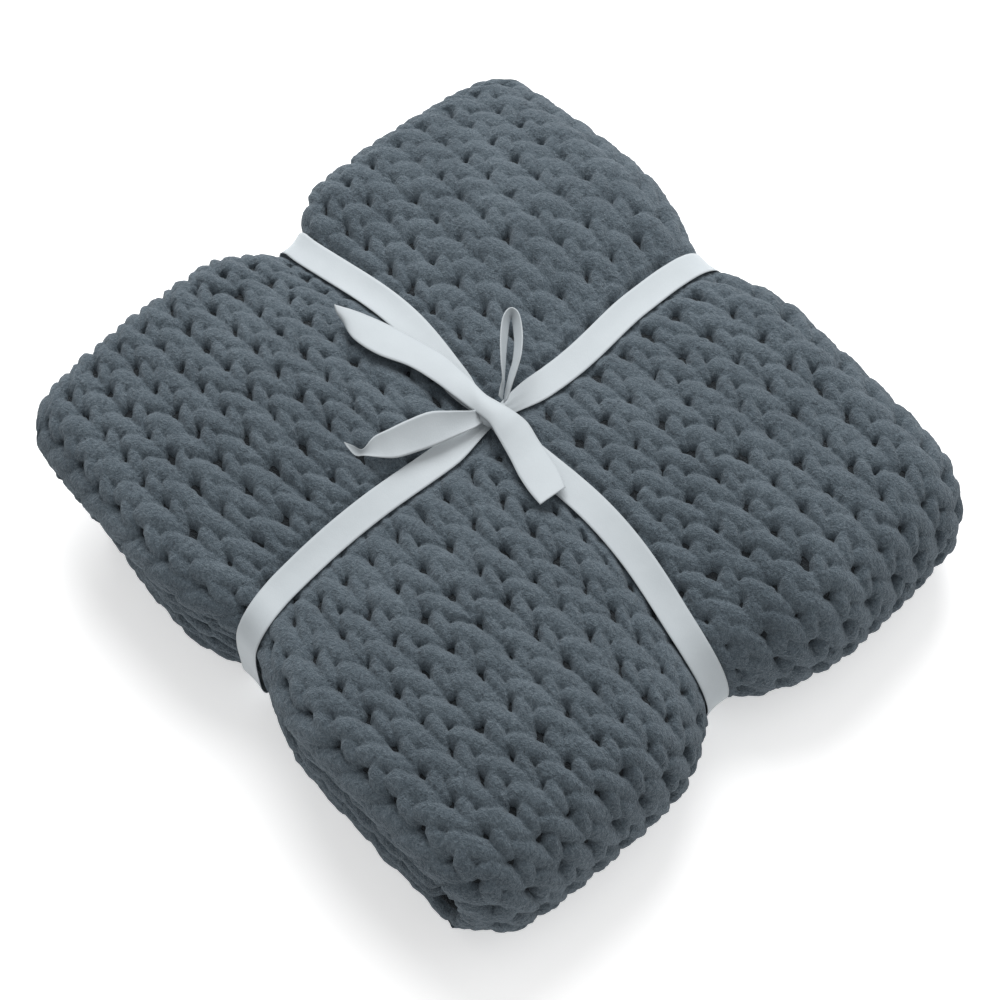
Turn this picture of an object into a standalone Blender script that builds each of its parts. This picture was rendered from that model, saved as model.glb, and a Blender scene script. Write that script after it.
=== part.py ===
"""A chunky knitted throw folded into a squarish bundle and tied crosswise with a satin ribbon.

The throw is one strip of cloth folded back and forth: its bottom layer turns up round the
right side (+X), becomes the top layer, and then zigzags down inside. The columns of knitting
run along X, and the selvedges show at both sides (-Y and +Y). The ribbon draws the bundle
in along two lines, which parts it into four soft lobes. The bundle is first laid out flat and
even, and settled() then moves every point, of cloth and ribbon alike, to where it lies.
"""

import math
from collections import namedtuple

import bmesh
import bpy
from mathutils import Vector

# The knit.
COLUMNS = 20
COLUMN_WIDTH = 0.022
CLOTH_HALF_WIDTH = COLUMNS * COLUMN_WIDTH / 2
CLOTH_THICKNESS = 0.0165
HALF_THICKNESS = CLOTH_THICKNESS / 2
LAYER_PITCH = 0.0192
VALLEY_DEPTH = 0.0045
EDGE_CHAMFER = 0.004

# The bundle before the ribbon is drawn tight.
LAYER_COUNT = 6
BUNDLE_HEIGHT = (LAYER_COUNT - 1) * LAYER_PITCH + CLOTH_THICKNESS
HALF_LENGTH = 0.240
HALF_DEPTH = 0.214
SMALL_TURN = LAYER_PITCH / 2
BIG_TURN = 0.041
BIG_TURN_START = HALF_LENGTH - BIG_TURN - HALF_THICKNESS

# The middle of the tied bundle's box, which is the part's origin.
BOX_MIDDLE_X = 0.0035
BOX_MIDDLE_Y = 0.0048

# The selvedges of the outer layer bend over the layers inside it.
BEND_START = 0.186
BEND_RADIUS = 0.019
BEND_ANGLE = math.radians(85)

# The ribbon and the two lines on which it goes round the bundle.
RIBBON_WIDTH = 0.020
RIBBON_THICKNESS = 0.0012
RIBBON_GAP = 0.0010
CROSSING_LIFT = 0.0005
TIE_X = -0.015
TIE_Y = 0.014
# The turn along the columns runs a little aslant on the right of the knot.
TIE_SLANT = -0.050
TIE_ROW_REACH = 0.016
# One row for each slow sway of a turn between the knot and the bundle's edge: its middle and its size.
Sway = namedtuple("Sway", "at shift reach")
SWAYS_ACROSS = (
    Sway(-0.225, 0.0050, 0.055),
    Sway(-0.120, -0.0050, 0.100),
    Sway(0.080, 0.0045, 0.064),
    Sway(0.225, 0.0034, 0.055),
)
SWAYS_ALONG = (
    Sway(-0.245, -0.0018, 0.050),
    Sway(-0.122, 0.0095, 0.100),
    Sway(0.105, 0.0078, 0.110),
)

# How far the tight ribbon and the cloth's own weight shape the bundle.
GROOVE_REACH = 0.105
GROOVE_DEPTH = 0.010
UNDERSIDE_REACH = 0.048
UNDERSIDE_LIFT = 0.006
NOTCH_ROUNDING = 0.007
NOTCH_POWER = 1.7
CORNER_DRAW = 0.050
CROWN_FALL_X = 0.010
CROWN_FALL_Y = 0.007
CROWN_POWER = 3
CORNER_POWER = 5
# Where the two grooves cross, the shallower one adds this share of its depth.
CROSSING_SHARE = 0.4
UNEVEN = 0.0016

# One row for each slow wave of the top: waves for each metre along X and Y, in radians, and its start.
Wave = namedtuple("Wave", "along_x along_y start")
WAVES = (Wave(19, 11, 0.6), Wave(-14, 27, 2.1))

# One row for each end of the two ribbon lines: how deep it draws the edge in and down, and how widely
# on its lower side (towards -X or -Y) and on its higher side.
End = namedtuple("End", "notch groove reach_low reach_high")
LEFT_END = End(notch=0.033, groove=0.024, reach_low=0.068, reach_high=0.047)
RIGHT_END = End(notch=0.042, groove=0.030, reach_low=0.080, reach_high=0.098)
NEAR_END = End(notch=0.027, groove=0.018, reach_low=0.085, reach_high=0.085)
FAR_END = End(notch=0.022, groove=0.018, reach_low=0.100, reach_high=0.072)
REACH_BLEND = 0.020

# One row for each of the four lobes: how much further it reaches than an even bundle would.
Lobe = namedtuple("Lobe", "more_x more_y")
LOBES = {
    (-1, -1): Lobe(-0.004, 0.001),
    (-1, 1): Lobe(-0.006, 0.013),
    (1, -1): Lobe(-0.002, 0.003),
    (1, 1): Lobe(0.002, 0.010),
}
LOBE_BLEND = 0.35
# The lower layers are set back at the left near corner, far along X and a little along Y,
# up to this height.
SET_BACK_X = 0.045
SET_BACK_Y = 0.010
SET_BACK_TOP = 0.072
SET_BACK_BLEND = 0.030

# One row for each layer, in the order in which the cloth passes through them.
Layer = namedtuple("Layer", "level x_from x_to half_low half_high bend ribs turn_depth turn_half")
LAYERS = (
    Layer(1, -0.222, BIG_TURN_START, 0.209, 0.207, 0.0, 0.0, BIG_TURN, CLOTH_HALF_WIDTH),
    Layer(6, BIG_TURN_START, -0.221, CLOTH_HALF_WIDTH, CLOTH_HALF_WIDTH, 1.0, 1.0, SMALL_TURN, 0.205),
    Layer(5, -0.221, 0.184, 0.189, 0.189, 0.0, 0.0, SMALL_TURN, 0.182),
    Layer(4, 0.184, -0.202, 0.210, 0.206, 0.0, 0.0, SMALL_TURN, 0.196),
    Layer(3, -0.202, 0.184, 0.2115, 0.209, 0.0, 0.0, SMALL_TURN, 0.182),
    Layer(2, 0.184, -0.212, 0.211, 0.208, 0.0, 0.0, SMALL_TURN, 0.182),
)
# Where a layer has a row of points, closer together under the ribbon.
ROWS_X = (-0.175, -0.125, -0.078, TIE_X - TIE_ROW_REACH, TIE_X + TIE_ROW_REACH, 0.037, 0.080, 0.120, 0.156)
# Where a hidden side has points, measured across the cloth and then inwards from its edges.
BACK_PLACES = (-0.125, -0.065, -0.022, TIE_Y, 0.044, 0.087, 0.135)
EDGE_STEPS = (0.0, 0.012, 0.024, 0.036)
BIG_TURN_ROWS = 8
LEFT_TURN_ROWS = 4
INNER_TURN_ROWS = 3
# A row this near the end of a layer is left out.
ROW_MARGIN = 0.012
# The edges in the big turn bend over this many times as fast as the cloth turns.
BEND_HURRY = 2.5

# Where the ribbon goes down the sides and under the bundle.
SIDE_WALL = 0.2147
SIDE_HEIGHTS = (0.068, 0.045, 0.022)
# The lower corner of the side, as (inwards from the wall, height) and the way out there, as (out, up).
SIDE_CORNER = (0.003, 0.005)
SIDE_CORNER_OUT = (0.8, -0.6)
# The foot of the left side, where the ribbon comes down past the cloth's free end.
FOOT_OUT = 0.0024
FOOT_HEIGHT = 0.012
FOOT_SHARES = (0.35, 0.70, 1.00)
FOOT_CORNER = 0.0010
FOOT_CORNER_OUT = (-0.7, -0.7)
UNDERSIDE_PLACES = (0.206, 0.180, 0.150, 0.125, 0.100, 0.078, 0.055, 0.033, 0.022, 0.011, 0.0, -0.011,
                    -0.033, -0.060, -0.080, -0.100, -0.125, -0.150, -0.165, -0.180, -0.193, -0.206)

# The bow: a tight knot, one loop and three tails.
# Places are measured from the knot, heights from the cloth.
KNOT_LENGTH = 0.024
KNOT_WIDTH = 0.018
KNOT_HEIGHT = 0.012
KNOT_CLEARANCE = 0.0008
KNOT_TURN = math.radians(40)
KNOT_SEGMENTS = 12
KNOT_RINGS = 8
BAND_STEPS = 2
Band = namedtuple("Band", "x y height width tilt skew")
BANDS = {
    "loop": (
        Band(0.000, 0.002, 0.007, 0.008, 90, 0.0),
        Band(-0.010, 0.020, 0.013, 0.014, 90, 0.0),
        Band(-0.022, 0.042, 0.017, 0.018, 90, 0.0),
        Band(-0.036, 0.056, 0.019, 0.020, 90, 0.0),
        Band(-0.041, 0.050, 0.019, 0.020, 90, 0.0),
        Band(-0.034, 0.034, 0.017, 0.018, 90, 0.0),
        Band(-0.019, 0.014, 0.013, 0.014, 90, 0.0),
        Band(-0.003, 0.000, 0.007, 0.008, 90, 0.0),
    ),
    "tail_left": (
        Band(0.000, 0.000, 0.0065, 0.010, 8, 0.0),
        Band(-0.034, -0.002, 0.0085, 0.018, 12, 0.0),
        Band(-0.072, -0.012, 0.0090, 0.020, 16, 0.0),
        Band(-0.116, -0.027, 0.0070, 0.019, 15, 0.006),
    ),
    "tail_near": (
        Band(0.000, 0.000, 0.0065, 0.010, -8, 0.0),
        Band(-0.010, -0.026, 0.0085, 0.018, -20, 0.0),
        Band(-0.022, -0.054, 0.0085, 0.020, -22, 0.0),
        Band(-0.039, -0.088, 0.0060, 0.012, -15, 0.004),
    ),
    "tail_right": (
        Band(0.000, 0.000, 0.0065, 0.010, 0, 0.0),
        Band(0.022, -0.008, 0.0080, 0.017, -8, 0.0),
        Band(0.045, -0.013, 0.0075, 0.020, -10, 0.0),
        Band(0.068, -0.016, 0.0065, 0.020, -8, 0.002),
    ),
}

# The two finishes. An edge sharper than SHARP_ANGLE is shown as an edge.
Finish = namedtuple("Finish", "colour roughness")
CHENILLE = Finish((0.105, 0.135, 0.155), 0.95)
SATIN = Finish((0.60, 0.64, 0.67), 0.35)
SHARP_ANGLE = math.radians(50)

Row = namedtuple("Row", "x z along_x along_z half_low half_high bend ribs fine")


def bump(distance, reach):
    """A smooth hump, 1 at its middle and exactly 0 past its reach."""
    return (1 - (distance / reach) ** 2) ** 2 if abs(distance) < reach else 0.0


def mix(a, b, share):
    return a + (b - a) * share


def cusp(distance, reach):
    """A narrow hump with a slightly rounded point, 0 past its reach."""
    share = math.hypot(distance, NOTCH_ROUNDING) / reach
    return (1 - share) ** 2 if share < 1 else 0.0


def ramp(value):
    """A smooth step from 0 to 1 as value goes from 0 to 1."""
    value = min(1.0, max(0.0, value))
    return value * value * (3 - 2 * value)


def swayed(place, sways):
    return sum(sway.shift * bump(place - sway.at, sway.reach) for sway in sways)


def tie_x(y):
    """Where the turn of ribbon across the columns lies at this y."""
    return TIE_X + swayed(y, SWAYS_ACROSS)


def tie_y(x):
    """Where the turn of ribbon along the columns lies at this x."""
    return TIE_Y + TIE_SLANT * max(0.0, x - TIE_X) + swayed(x, SWAYS_ALONG)


def end_reach(end, distance):
    """How widely a ribbon end draws the edge in, on this side of its line."""
    return mix(end.reach_low, end.reach_high, ramp(0.5 + distance / (2 * REACH_BLEND)))


def lobe_reach(u, v):
    """How much further the cloth reaches here, blended between the four lobes."""
    right = ramp(0.5 + 0.5 * u / LOBE_BLEND)
    far = ramp(0.5 + 0.5 * v / LOBE_BLEND)
    shares = {(i, j): (right if i > 0 else 1 - right) * (far if j > 0 else 1 - far) for i, j in LOBES}
    return (
        sum(shares[key] * lobe.more_x for key, lobe in LOBES.items()),
        sum(shares[key] * lobe.more_y for key, lobe in LOBES.items()),
    )


def settled(x, y, z):
    """Moves a point of the even bundle to where it lies once the ribbon is tight."""
    u = x / HALF_LENGTH
    v = y / HALF_DEPTH
    end_x = RIGHT_END if x > 0 else LEFT_END
    end_y = FAR_END if y > 0 else NEAR_END
    off_x = x - tie_x(y)
    off_y = y - tie_y(x)
    cusp_x = cusp(off_x, end_reach(end_y, off_x))
    cusp_y = cusp(off_y, end_reach(end_x, off_y))
    trough_x = mix(bump(off_x, GROOVE_REACH), cusp_x, min(1.0, v * v))
    trough_y = mix(bump(off_y, GROOVE_REACH), cusp_y, min(1.0, u * u))
    groove_along_y = trough_x * mix(GROOVE_DEPTH, end_y.groove, v * v)
    groove_along_x = trough_y * mix(GROOVE_DEPTH, end_x.groove, u * u)
    deeper = max(groove_along_y, groove_along_x)
    shallower = min(groove_along_y, groove_along_x)
    top = BUNDLE_HEIGHT - deeper - CROSSING_SHARE * shallower
    top -= CROWN_FALL_X * abs(u) ** CROWN_POWER + CROWN_FALL_Y * abs(v) ** CROWN_POWER
    top += UNEVEN * sum(math.sin(wave.along_x * x + wave.along_y * y + wave.start) for wave in WAVES)
    lift = UNDERSIDE_LIFT * max(bump(off_x, UNDERSIDE_REACH), bump(off_y, UNDERSIDE_REACH))
    more_x, more_y = lobe_reach(u, v)
    out_x = more_x * u * u - end_x.notch * cusp_y * abs(u) ** NOTCH_POWER
    out_y = more_y * v * v - end_y.notch * cusp_x * abs(v) ** NOTCH_POWER
    below = ramp(-u) * ramp(-v) * ramp((SET_BACK_TOP - z) / SET_BACK_BLEND)
    out_x -= SET_BACK_X * u * u * below
    out_y -= SET_BACK_Y * v * v * below
    drawn_x = x * (1 - CORNER_DRAW * abs(v) ** CORNER_POWER) + math.copysign(1.0, x) * out_x
    drawn_y = y * (1 - CORNER_DRAW * abs(u) ** CORNER_POWER) + math.copysign(1.0, y) * out_y
    height = lift + z * (top - lift) / BUNDLE_HEIGHT
    return Vector((drawn_x - BOX_MIDDLE_X, drawn_y - BOX_MIDDLE_Y, height))


def layer_height(level):
    return HALF_THICKNESS + (level - 1) * LAYER_PITCH


def straight_rows(layer):
    """The rows of one layer, from end to end, without the points where it turns."""
    low, high = sorted((layer.x_from, layer.x_to))
    inner = [x for x in ROWS_X if low + ROW_MARGIN < x < high - ROW_MARGIN]
    heading = 1 if layer.x_to > layer.x_from else -1
    places = sorted([low, *inner, high], reverse=heading < 0)
    return [
        Row(x, layer_height(layer.level), heading, 0.0, layer.half_low, layer.half_high,
            layer.bend, layer.ribs, layer.level == 6 or layer.level == 1)
        for x in places
    ]


def turn_rows(layer, following):
    """The rows round the turn from one layer into the next."""
    z_from = layer_height(layer.level)
    z_to = layer_height(following.level)
    middle = (z_from + z_to) / 2
    radius = (z_from - z_to) / 2
    side = 1 if layer.x_to > 0 else -1
    count = INNER_TURN_ROWS
    if layer.level == 1:
        count = BIG_TURN_ROWS
    elif layer.level == 6:
        count = LEFT_TURN_ROWS
    outer = layer.level in (1, 6)
    rows = []
    for step in range(1, count + 1):
        share = step / (count + 1)
        angle = math.pi * share
        along = Vector((side * layer.turn_depth * math.cos(angle), -radius * math.sin(angle)))
        along.normalize()
        widening = math.sin(angle)
        rows.append(
            Row(
                layer.x_to + side * layer.turn_depth * math.sin(angle),
                middle + radius * math.cos(angle),
                along.x,
                along.y,
                mix(mix(layer.half_low, following.half_low, share), layer.turn_half, widening),
                mix(mix(layer.half_high, following.half_high, share), layer.turn_half, widening),
                mix(layer.bend, following.bend, share) if layer.level > 1 else min(1.0, BEND_HURRY * share),
                1.0 if outer else 0.0,
                outer,
            )
        )
    return rows


def cloth_rows():
    rows = []
    for index, layer in enumerate(LAYERS):
        rows += straight_rows(layer)
        if index + 1 < len(LAYERS):
            rows += turn_rows(layer, LAYERS[index + 1])
    return rows


def cloth_point(row, place, offset):
    """A point of the even bundle: place is measured across the cloth, offset out of its middle."""
    bend = row.bend * BEND_ANGLE
    side = math.copysign(1.0, place)
    beyond = max(0.0, abs(place) - BEND_START)
    angle = min(beyond / BEND_RADIUS, bend)
    straight = beyond - angle * BEND_RADIUS
    y = min(abs(place), BEND_START) + BEND_RADIUS * math.sin(angle) + straight * math.cos(angle)
    depth = BEND_RADIUS * (1 - math.cos(angle)) + straight * math.sin(angle)
    y += offset * math.sin(angle)
    outward = offset * math.cos(angle) - depth
    return row.x + row.along_z * outward, side * y, row.z - row.along_x * outward


def face_places(row):
    """Where the face has points: the hollows between the columns and their crests."""
    span = row.half_low + row.half_high
    return [-row.half_low + span * step / (2 * COLUMNS) for step in range(2 * COLUMNS + 1)]


def back_places(row):
    low, high = row.half_low, row.half_high
    return (
        [-low + step for step in EDGE_STEPS]
        + list(BACK_PLACES)
        + [high - step for step in reversed(EDGE_STEPS)]
    )


def row_points(row):
    """One closed loop round the cloth: its face, far edge, back and near edge."""
    places = face_places(row) if row.fine else back_places(row)
    face = []
    for index, place in enumerate(places):
        at_edge = index in (0, len(places) - 1)
        hollow = row.fine and index % 2 == 0 and not at_edge
        offset = HALF_THICKNESS - (VALLEY_DEPTH * row.ribs if hollow else 0.0)
        inset = math.copysign(EDGE_CHAMFER, place) if at_edge else 0.0
        face.append(cloth_point(row, place - inset, offset))
    places = back_places(row)
    back = []
    for index, place in enumerate(places):
        at_edge = index in (0, len(places) - 1)
        inset = math.copysign(EDGE_CHAMFER, place) if at_edge else 0.0
        back.append(cloth_point(row, place - inset, -HALF_THICKNESS))
    near_edge = cloth_point(row, -row.half_low, 0.0)
    far_edge = cloth_point(row, row.half_high, 0.0)
    return face, far_edge, back, near_edge


def bridge_lines(mesh, first, second):
    """Fills the strip between two lines of vertices, which may differ in number."""
    i = j = 0
    while i < len(first) - 1 or j < len(second) - 1:
        share_i = (i + 1) / (len(first) - 1)
        share_j = (j + 1) / (len(second) - 1)
        if len(first) == len(second):
            mesh.faces.new((first[i], first[i + 1], second[j + 1], second[j]))
            i += 1
            j += 1
        elif share_i <= share_j and i < len(first) - 1:
            mesh.faces.new((first[i], first[i + 1], second[j]))
            i += 1
        else:
            mesh.faces.new((first[i], second[j + 1], second[j]))
            j += 1


def add_loop(mesh, points):
    return [mesh.verts.new(point) for point in points]


def finish(mesh, name, look):
    """Makes an object of the mesh, with its own material."""
    bmesh.ops.recalc_face_normals(mesh, faces=mesh.faces)
    data = bpy.data.meshes.new(name)
    mesh.to_mesh(data)
    mesh.free()
    data.shade_smooth()
    data.set_sharp_from_angle(angle=SHARP_ANGLE)
    material = bpy.data.materials.new(name)
    material.use_nodes = True
    shader = material.node_tree.nodes["Principled BSDF"]
    shader.inputs["Base Color"].default_value = (*look.colour, 1.0)
    shader.inputs["Roughness"].default_value = look.roughness
    data.materials.append(material)
    thing = bpy.data.objects.new(name, data)
    bpy.context.scene.collection.objects.link(thing)
    return thing


def make_blanket():
    mesh = bmesh.new()
    loops = []
    for row in cloth_rows():
        face, far_edge, back, near_edge = row_points(row)
        face = add_loop(mesh, [settled(*point) for point in face])
        back = add_loop(mesh, [settled(*point) for point in back])
        far, near = add_loop(mesh, [settled(*far_edge), settled(*near_edge)])
        loops.append((face, [face[-1], far, back[-1]], back, [back[0], near, face[0]]))
    for before, after in zip(loops, loops[1:]):
        bridge_lines(mesh, before[0], after[0])
        bridge_lines(mesh, before[1], after[1])
        bridge_lines(mesh, before[2][::-1], after[2][::-1])
        bridge_lines(mesh, before[3], after[3])
    for face, far, back, near in (loops[0], loops[-1]):
        bridge_lines(mesh, face, back)
        mesh.faces.new(far)
        mesh.faces.new(near)
    bmesh.ops.triangulate(mesh, faces=mesh.faces)
    finish(mesh, "blanket", CHENILLE)


def ring_along_y():
    """The even outline that the ribbon follows across the columns, as (y, z, outward y, outward z)."""
    layer = LAYERS[1]
    height = layer_height(layer.level)
    row = Row(TIE_X, height, -1, 0.0, layer.half_low, layer.half_high, layer.bend, 1.0, True)
    outline = []
    edge = CLOTH_HALF_WIDTH - EDGE_CHAMFER
    for place in [-edge, *face_places(row)[1::2], edge]:
        _, y_in, z_in = cloth_point(row, place, HALF_THICKNESS)
        _, y_out, z_out = cloth_point(row, place, HALF_THICKNESS + 1)
        outline.append((y_in, z_in, y_out - y_in, z_out - z_in))
    wall = SIDE_WALL
    outline += [(wall, z, 1.0, 0.0) for z in SIDE_HEIGHTS]
    inwards, height = SIDE_CORNER
    out_y, out_z = SIDE_CORNER_OUT
    outline.append((wall - inwards, height, out_y, out_z))
    outline += [(y, 0.0, 0.0, -1.0) for y in UNDERSIDE_PLACES]
    outline.append((inwards - wall, height, -out_y, out_z))
    outline += [(-wall, z, -1.0, 0.0) for z in reversed(SIDE_HEIGHTS)]
    return outline


def ring_along_x():
    """The even outline that the ribbon follows along the columns, as (x, z, outward x, outward z)."""
    rows = [row for row in cloth_rows() if row.fine]
    outline = []
    for row in rows:
        past_left_turn = row.x < 0 and row.along_x > 0.5 and row.z > layer_height(1)
        if past_left_turn:
            continue
        x = row.x + row.along_z * HALF_THICKNESS
        z = row.z - row.along_x * HALF_THICKNESS
        outline.append((x, z, row.along_z, -row.along_x))
    last_x, last_z = outline[-1][:2]
    first_x = outline[0][0]
    outline[0] = (first_x + EDGE_CHAMFER, 0.0, 0.0, -1.0)
    foot_x = first_x - FOOT_OUT
    lean = Vector((last_x - foot_x, last_z - FOOT_HEIGHT)).normalized()
    for share in FOOT_SHARES:
        outline.append((mix(last_x, foot_x, share), mix(last_z, FOOT_HEIGHT, share), -lean.y, lean.x))
    outline.append((first_x - FOOT_CORNER, 0.0, *FOOT_CORNER_OUT))
    return outline


def close_loops(mesh, loops, ring):
    """Walls between each loop of points and the next. A ring ends where it starts, a band has caps."""
    count = len(loops[0])
    pairs = list(zip(loops, loops[1:] + loops[:1])) if ring else list(zip(loops, loops[1:]))
    for before, after in pairs:
        for i in range(count):
            j = (i + 1) % count
            mesh.faces.new((before[i], before[j], after[j], after[i]))
    if not ring:
        mesh.faces.new(loops[0])
        mesh.faces.new(loops[-1])


def strap_along_y():
    """The turn of ribbon that crosses the columns."""
    mesh = bmesh.new()
    loops = []
    for y, z, out_y, out_z in ring_along_y():
        corners = []
        for side, height in ((-1, 0), (1, 0), (1, 1), (-1, 1)):
            lift = RIBBON_GAP + height * RIBBON_THICKNESS
            ends = [
                settled(TIE_X + reach, y + out_y * lift, z + out_z * lift)
                for reach in (-TIE_ROW_REACH, TIE_ROW_REACH)
            ]
            off_row = tie_x(y) - TIE_X + side * RIBBON_WIDTH / 2
            share = 0.5 + off_row / (2 * TIE_ROW_REACH)
            corners.append(ends[0].lerp(ends[1], share))
        loops.append(add_loop(mesh, corners))
    close_loops(mesh, loops, ring=True)
    return mesh


def strap_along_x():
    """The turn of ribbon that follows a column."""
    mesh = bmesh.new()
    loops = []
    for x, z, out_x, out_z in ring_along_x():
        corners = []
        for side, height in ((-1, 0), (0, 0), (1, 0), (1, 1), (0, 1), (-1, 1)):
            lift = RIBBON_GAP + CROSSING_LIFT + height * RIBBON_THICKNESS
            corners.append(settled(x + out_x * lift, tie_y(x) + side * RIBBON_WIDTH / 2, z + out_z * lift))
        loops.append(add_loop(mesh, corners))
    close_loops(mesh, loops, ring=True)
    return mesh


def knot_place():
    return settled(TIE_X, TIE_Y, BUNDLE_HEIGHT) + Vector((0, 0, KNOT_HEIGHT / 2 + KNOT_CLEARANCE))


def knot():
    mesh = bmesh.new()
    bmesh.ops.create_uvsphere(mesh, u_segments=KNOT_SEGMENTS, v_segments=KNOT_RINGS, radius=0.5)
    turn = Vector((math.cos(KNOT_TURN), math.sin(KNOT_TURN)))
    for vertex in mesh.verts:
        along = vertex.co.x * KNOT_LENGTH
        across = vertex.co.y * KNOT_WIDTH
        vertex.co = knot_place() + Vector(
            (along * turn.x - across * turn.y, along * turn.y + across * turn.x, vertex.co.z * KNOT_HEIGHT)
        )
    return mesh


def smooth_rows(rows):
    """Adds rows between those of a band's table, on a smooth curve through them."""
    dense = []
    for index in range(len(rows) - 1):
        around = [rows[max(0, min(len(rows) - 1, index + k))] for k in (-1, 0, 1, 2)]
        for step in range(BAND_STEPS):
            t = step / BAND_STEPS
            dense.append(
                tuple(
                    0.5 * (2 * b + (c - a) * t + (2 * a - 5 * b + 4 * c - d) * t * t
                           + (3 * b - a - 3 * c + d) * t ** 3)
                    for a, b, c, d in zip(*around)
                )
            )
    return dense + [tuple(rows[-1])]


def band(rows):
    """A free length of ribbon. Its table gives places from the knot, widths and tilts."""
    mesh = bmesh.new()
    dense = smooth_rows(rows)
    places = [
        settled(TIE_X + row[0], TIE_Y + row[1], BUNDLE_HEIGHT) + Vector((0, 0, row[2])) for row in dense
    ]
    loops = []
    for index, row in enumerate(dense):
        ahead = places[min(index + 1, len(places) - 1)] - places[max(index - 1, 0)]
        ahead.normalize()
        flat_side = ahead.cross(Vector((0, 0, 1))).normalized()
        upright = flat_side.cross(ahead)
        tilt = math.radians(row[4])
        side = flat_side * math.cos(tilt) + upright * math.sin(tilt)
        outward = side.cross(ahead)
        half_across = side * row[3] / 2 + ahead * row[5]
        half_through = outward * RIBBON_THICKNESS / 2
        corners = [
            places[index] + half_across * across + half_through * through
            for across, through in ((-1, -1), (1, -1), (1, 1), (-1, 1))
        ]
        loops.append(add_loop(mesh, corners))
    close_loops(mesh, loops, ring=False)
    return mesh


def joined(main_thing, others):
    """One solid of all the pieces."""
    for other in others:
        union = main_thing.modifiers.new("join", "BOOLEAN")
        union.operation = "UNION"
        union.solver = "EXACT"
        union.object = other
        other.hide_render = True
        other.display_type = "WIRE"


def make_ribbon():
    ribbon = finish(strap_along_x(), "ribbon", SATIN)
    meshes = {"strap_across": strap_along_y(), "knot": knot()}
    meshes.update({name: band(rows) for name, rows in BANDS.items()})
    joined(ribbon, [finish(mesh, name, SATIN) for name, mesh in meshes.items()])


def clear_scene():
    for thing in list(bpy.data.objects):
        bpy.data.objects.remove(thing, do_unlink=True)


def main():
    clear_scene()
    make_blanket()
    make_ribbon()


main()
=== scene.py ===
# %% [markdown]
# # A chunky chenille throw, folded and tied with ribbon
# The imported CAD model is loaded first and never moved: every piece made below sits in its space.
# The CAD throw is a thick cloth with ribs. Here the same cloth is knitted, stitch by stitch, and the
# ribbon gets its bow with soft folds, so that both hold up when they are seen close by.

# %% The frame
import math
from collections import namedtuple

import bpy
import numpy as np
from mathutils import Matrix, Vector


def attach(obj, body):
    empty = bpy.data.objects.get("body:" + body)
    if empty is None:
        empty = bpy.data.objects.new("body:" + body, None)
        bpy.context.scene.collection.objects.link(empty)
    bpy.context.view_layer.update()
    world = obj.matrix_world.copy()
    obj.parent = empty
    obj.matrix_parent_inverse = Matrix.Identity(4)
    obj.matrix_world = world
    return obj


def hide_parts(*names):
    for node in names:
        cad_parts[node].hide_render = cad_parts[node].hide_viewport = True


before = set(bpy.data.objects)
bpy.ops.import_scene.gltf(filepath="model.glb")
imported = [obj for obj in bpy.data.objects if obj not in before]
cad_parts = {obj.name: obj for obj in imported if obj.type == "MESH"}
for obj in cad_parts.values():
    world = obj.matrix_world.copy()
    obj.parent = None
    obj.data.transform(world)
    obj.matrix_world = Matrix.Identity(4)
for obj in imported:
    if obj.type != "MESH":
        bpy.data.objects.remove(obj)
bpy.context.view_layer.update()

# %% [markdown]
# ## The camera
# The picture was taken from high up, over one corner, with a long lens. The camera's place comes from
# fitting the bundle's outline, its four notches and its knot to the picture. It is set first, because
# everything after it is judged through it.

# %% Camera
TARGET = Vector((0.0135, -0.0130, 0.060))
AZIMUTH = math.radians(47.39)
ELEVATION = math.radians(62.87)
DISTANCE = 1.441
FOCAL_SHARE = 2.2439
SENSOR = 36.0

backwards = Vector((
    math.sin(AZIMUTH) * math.cos(ELEVATION),
    -math.cos(AZIMUTH) * math.cos(ELEVATION),
    math.sin(ELEVATION),
))
camera = bpy.data.objects.new("camera", bpy.data.cameras.new("camera"))
bpy.context.scene.collection.objects.link(camera)
camera.data.sensor_width = SENSOR
camera.data.lens = SENSOR * FOCAL_SHARE
camera.location = TARGET + backwards * DISTANCE
camera.rotation_euler = (-backwards).to_track_quat("-Z", "Y").to_euler()
bpy.context.scene.camera = camera
print("camera at", [round(value, 3) for value in camera.location])

# %% [markdown]
# ## How the bundle lies
# The same few numbers as in the CAD source say how the cloth is folded and how the tight ribbon draws
# it in. They work on whole arrays of points here, so that any number of stitches can be laid on the
# cloth at once. The bundle is first laid out even, and settled() moves every point to its place.

# %% Sizes
COLUMNS = 20
COLUMN_WIDTH = 0.022
CLOTH_HALF_WIDTH = COLUMNS * COLUMN_WIDTH / 2
HALF_THICKNESS = 0.00825
LAYER_PITCH = 0.0192
LAYER_COUNT = 6
BUNDLE_HEIGHT = (LAYER_COUNT - 1) * LAYER_PITCH + 2 * HALF_THICKNESS
HALF_LENGTH = 0.240
HALF_DEPTH = 0.214
SMALL_TURN = LAYER_PITCH / 2
BIG_TURN = 0.041
BIG_TURN_START = HALF_LENGTH - BIG_TURN - HALF_THICKNESS
BOX_MIDDLE_X = 0.0035
BOX_MIDDLE_Y = 0.0048
BEND_START = 0.186
BEND_RADIUS = 0.019
BEND_ANGLE = math.radians(85)
TIE_X = -0.015
TIE_Y = 0.014
TIE_SLANT = -0.050
GROOVE_REACH = 0.105
GROOVE_DEPTH = 0.010
SHALLOWER_GROOVE = 0.4
UNDERSIDE_REACH = 0.048
UNDERSIDE_LIFT = 0.006
NOTCH_ROUNDING = 0.007
NOTCH_POWER = 1.7
CORNER_DRAW = 0.050
CORNER_POWER = 5
CROWN_FALL_X = 0.010
CROWN_FALL_Y = 0.007
CROWN_POWER = 3
UNEVEN = 0.0016
BEND_HURRY = 2.5
LOBE_BLEND = 0.35
SET_BACK_X = 0.045
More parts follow.
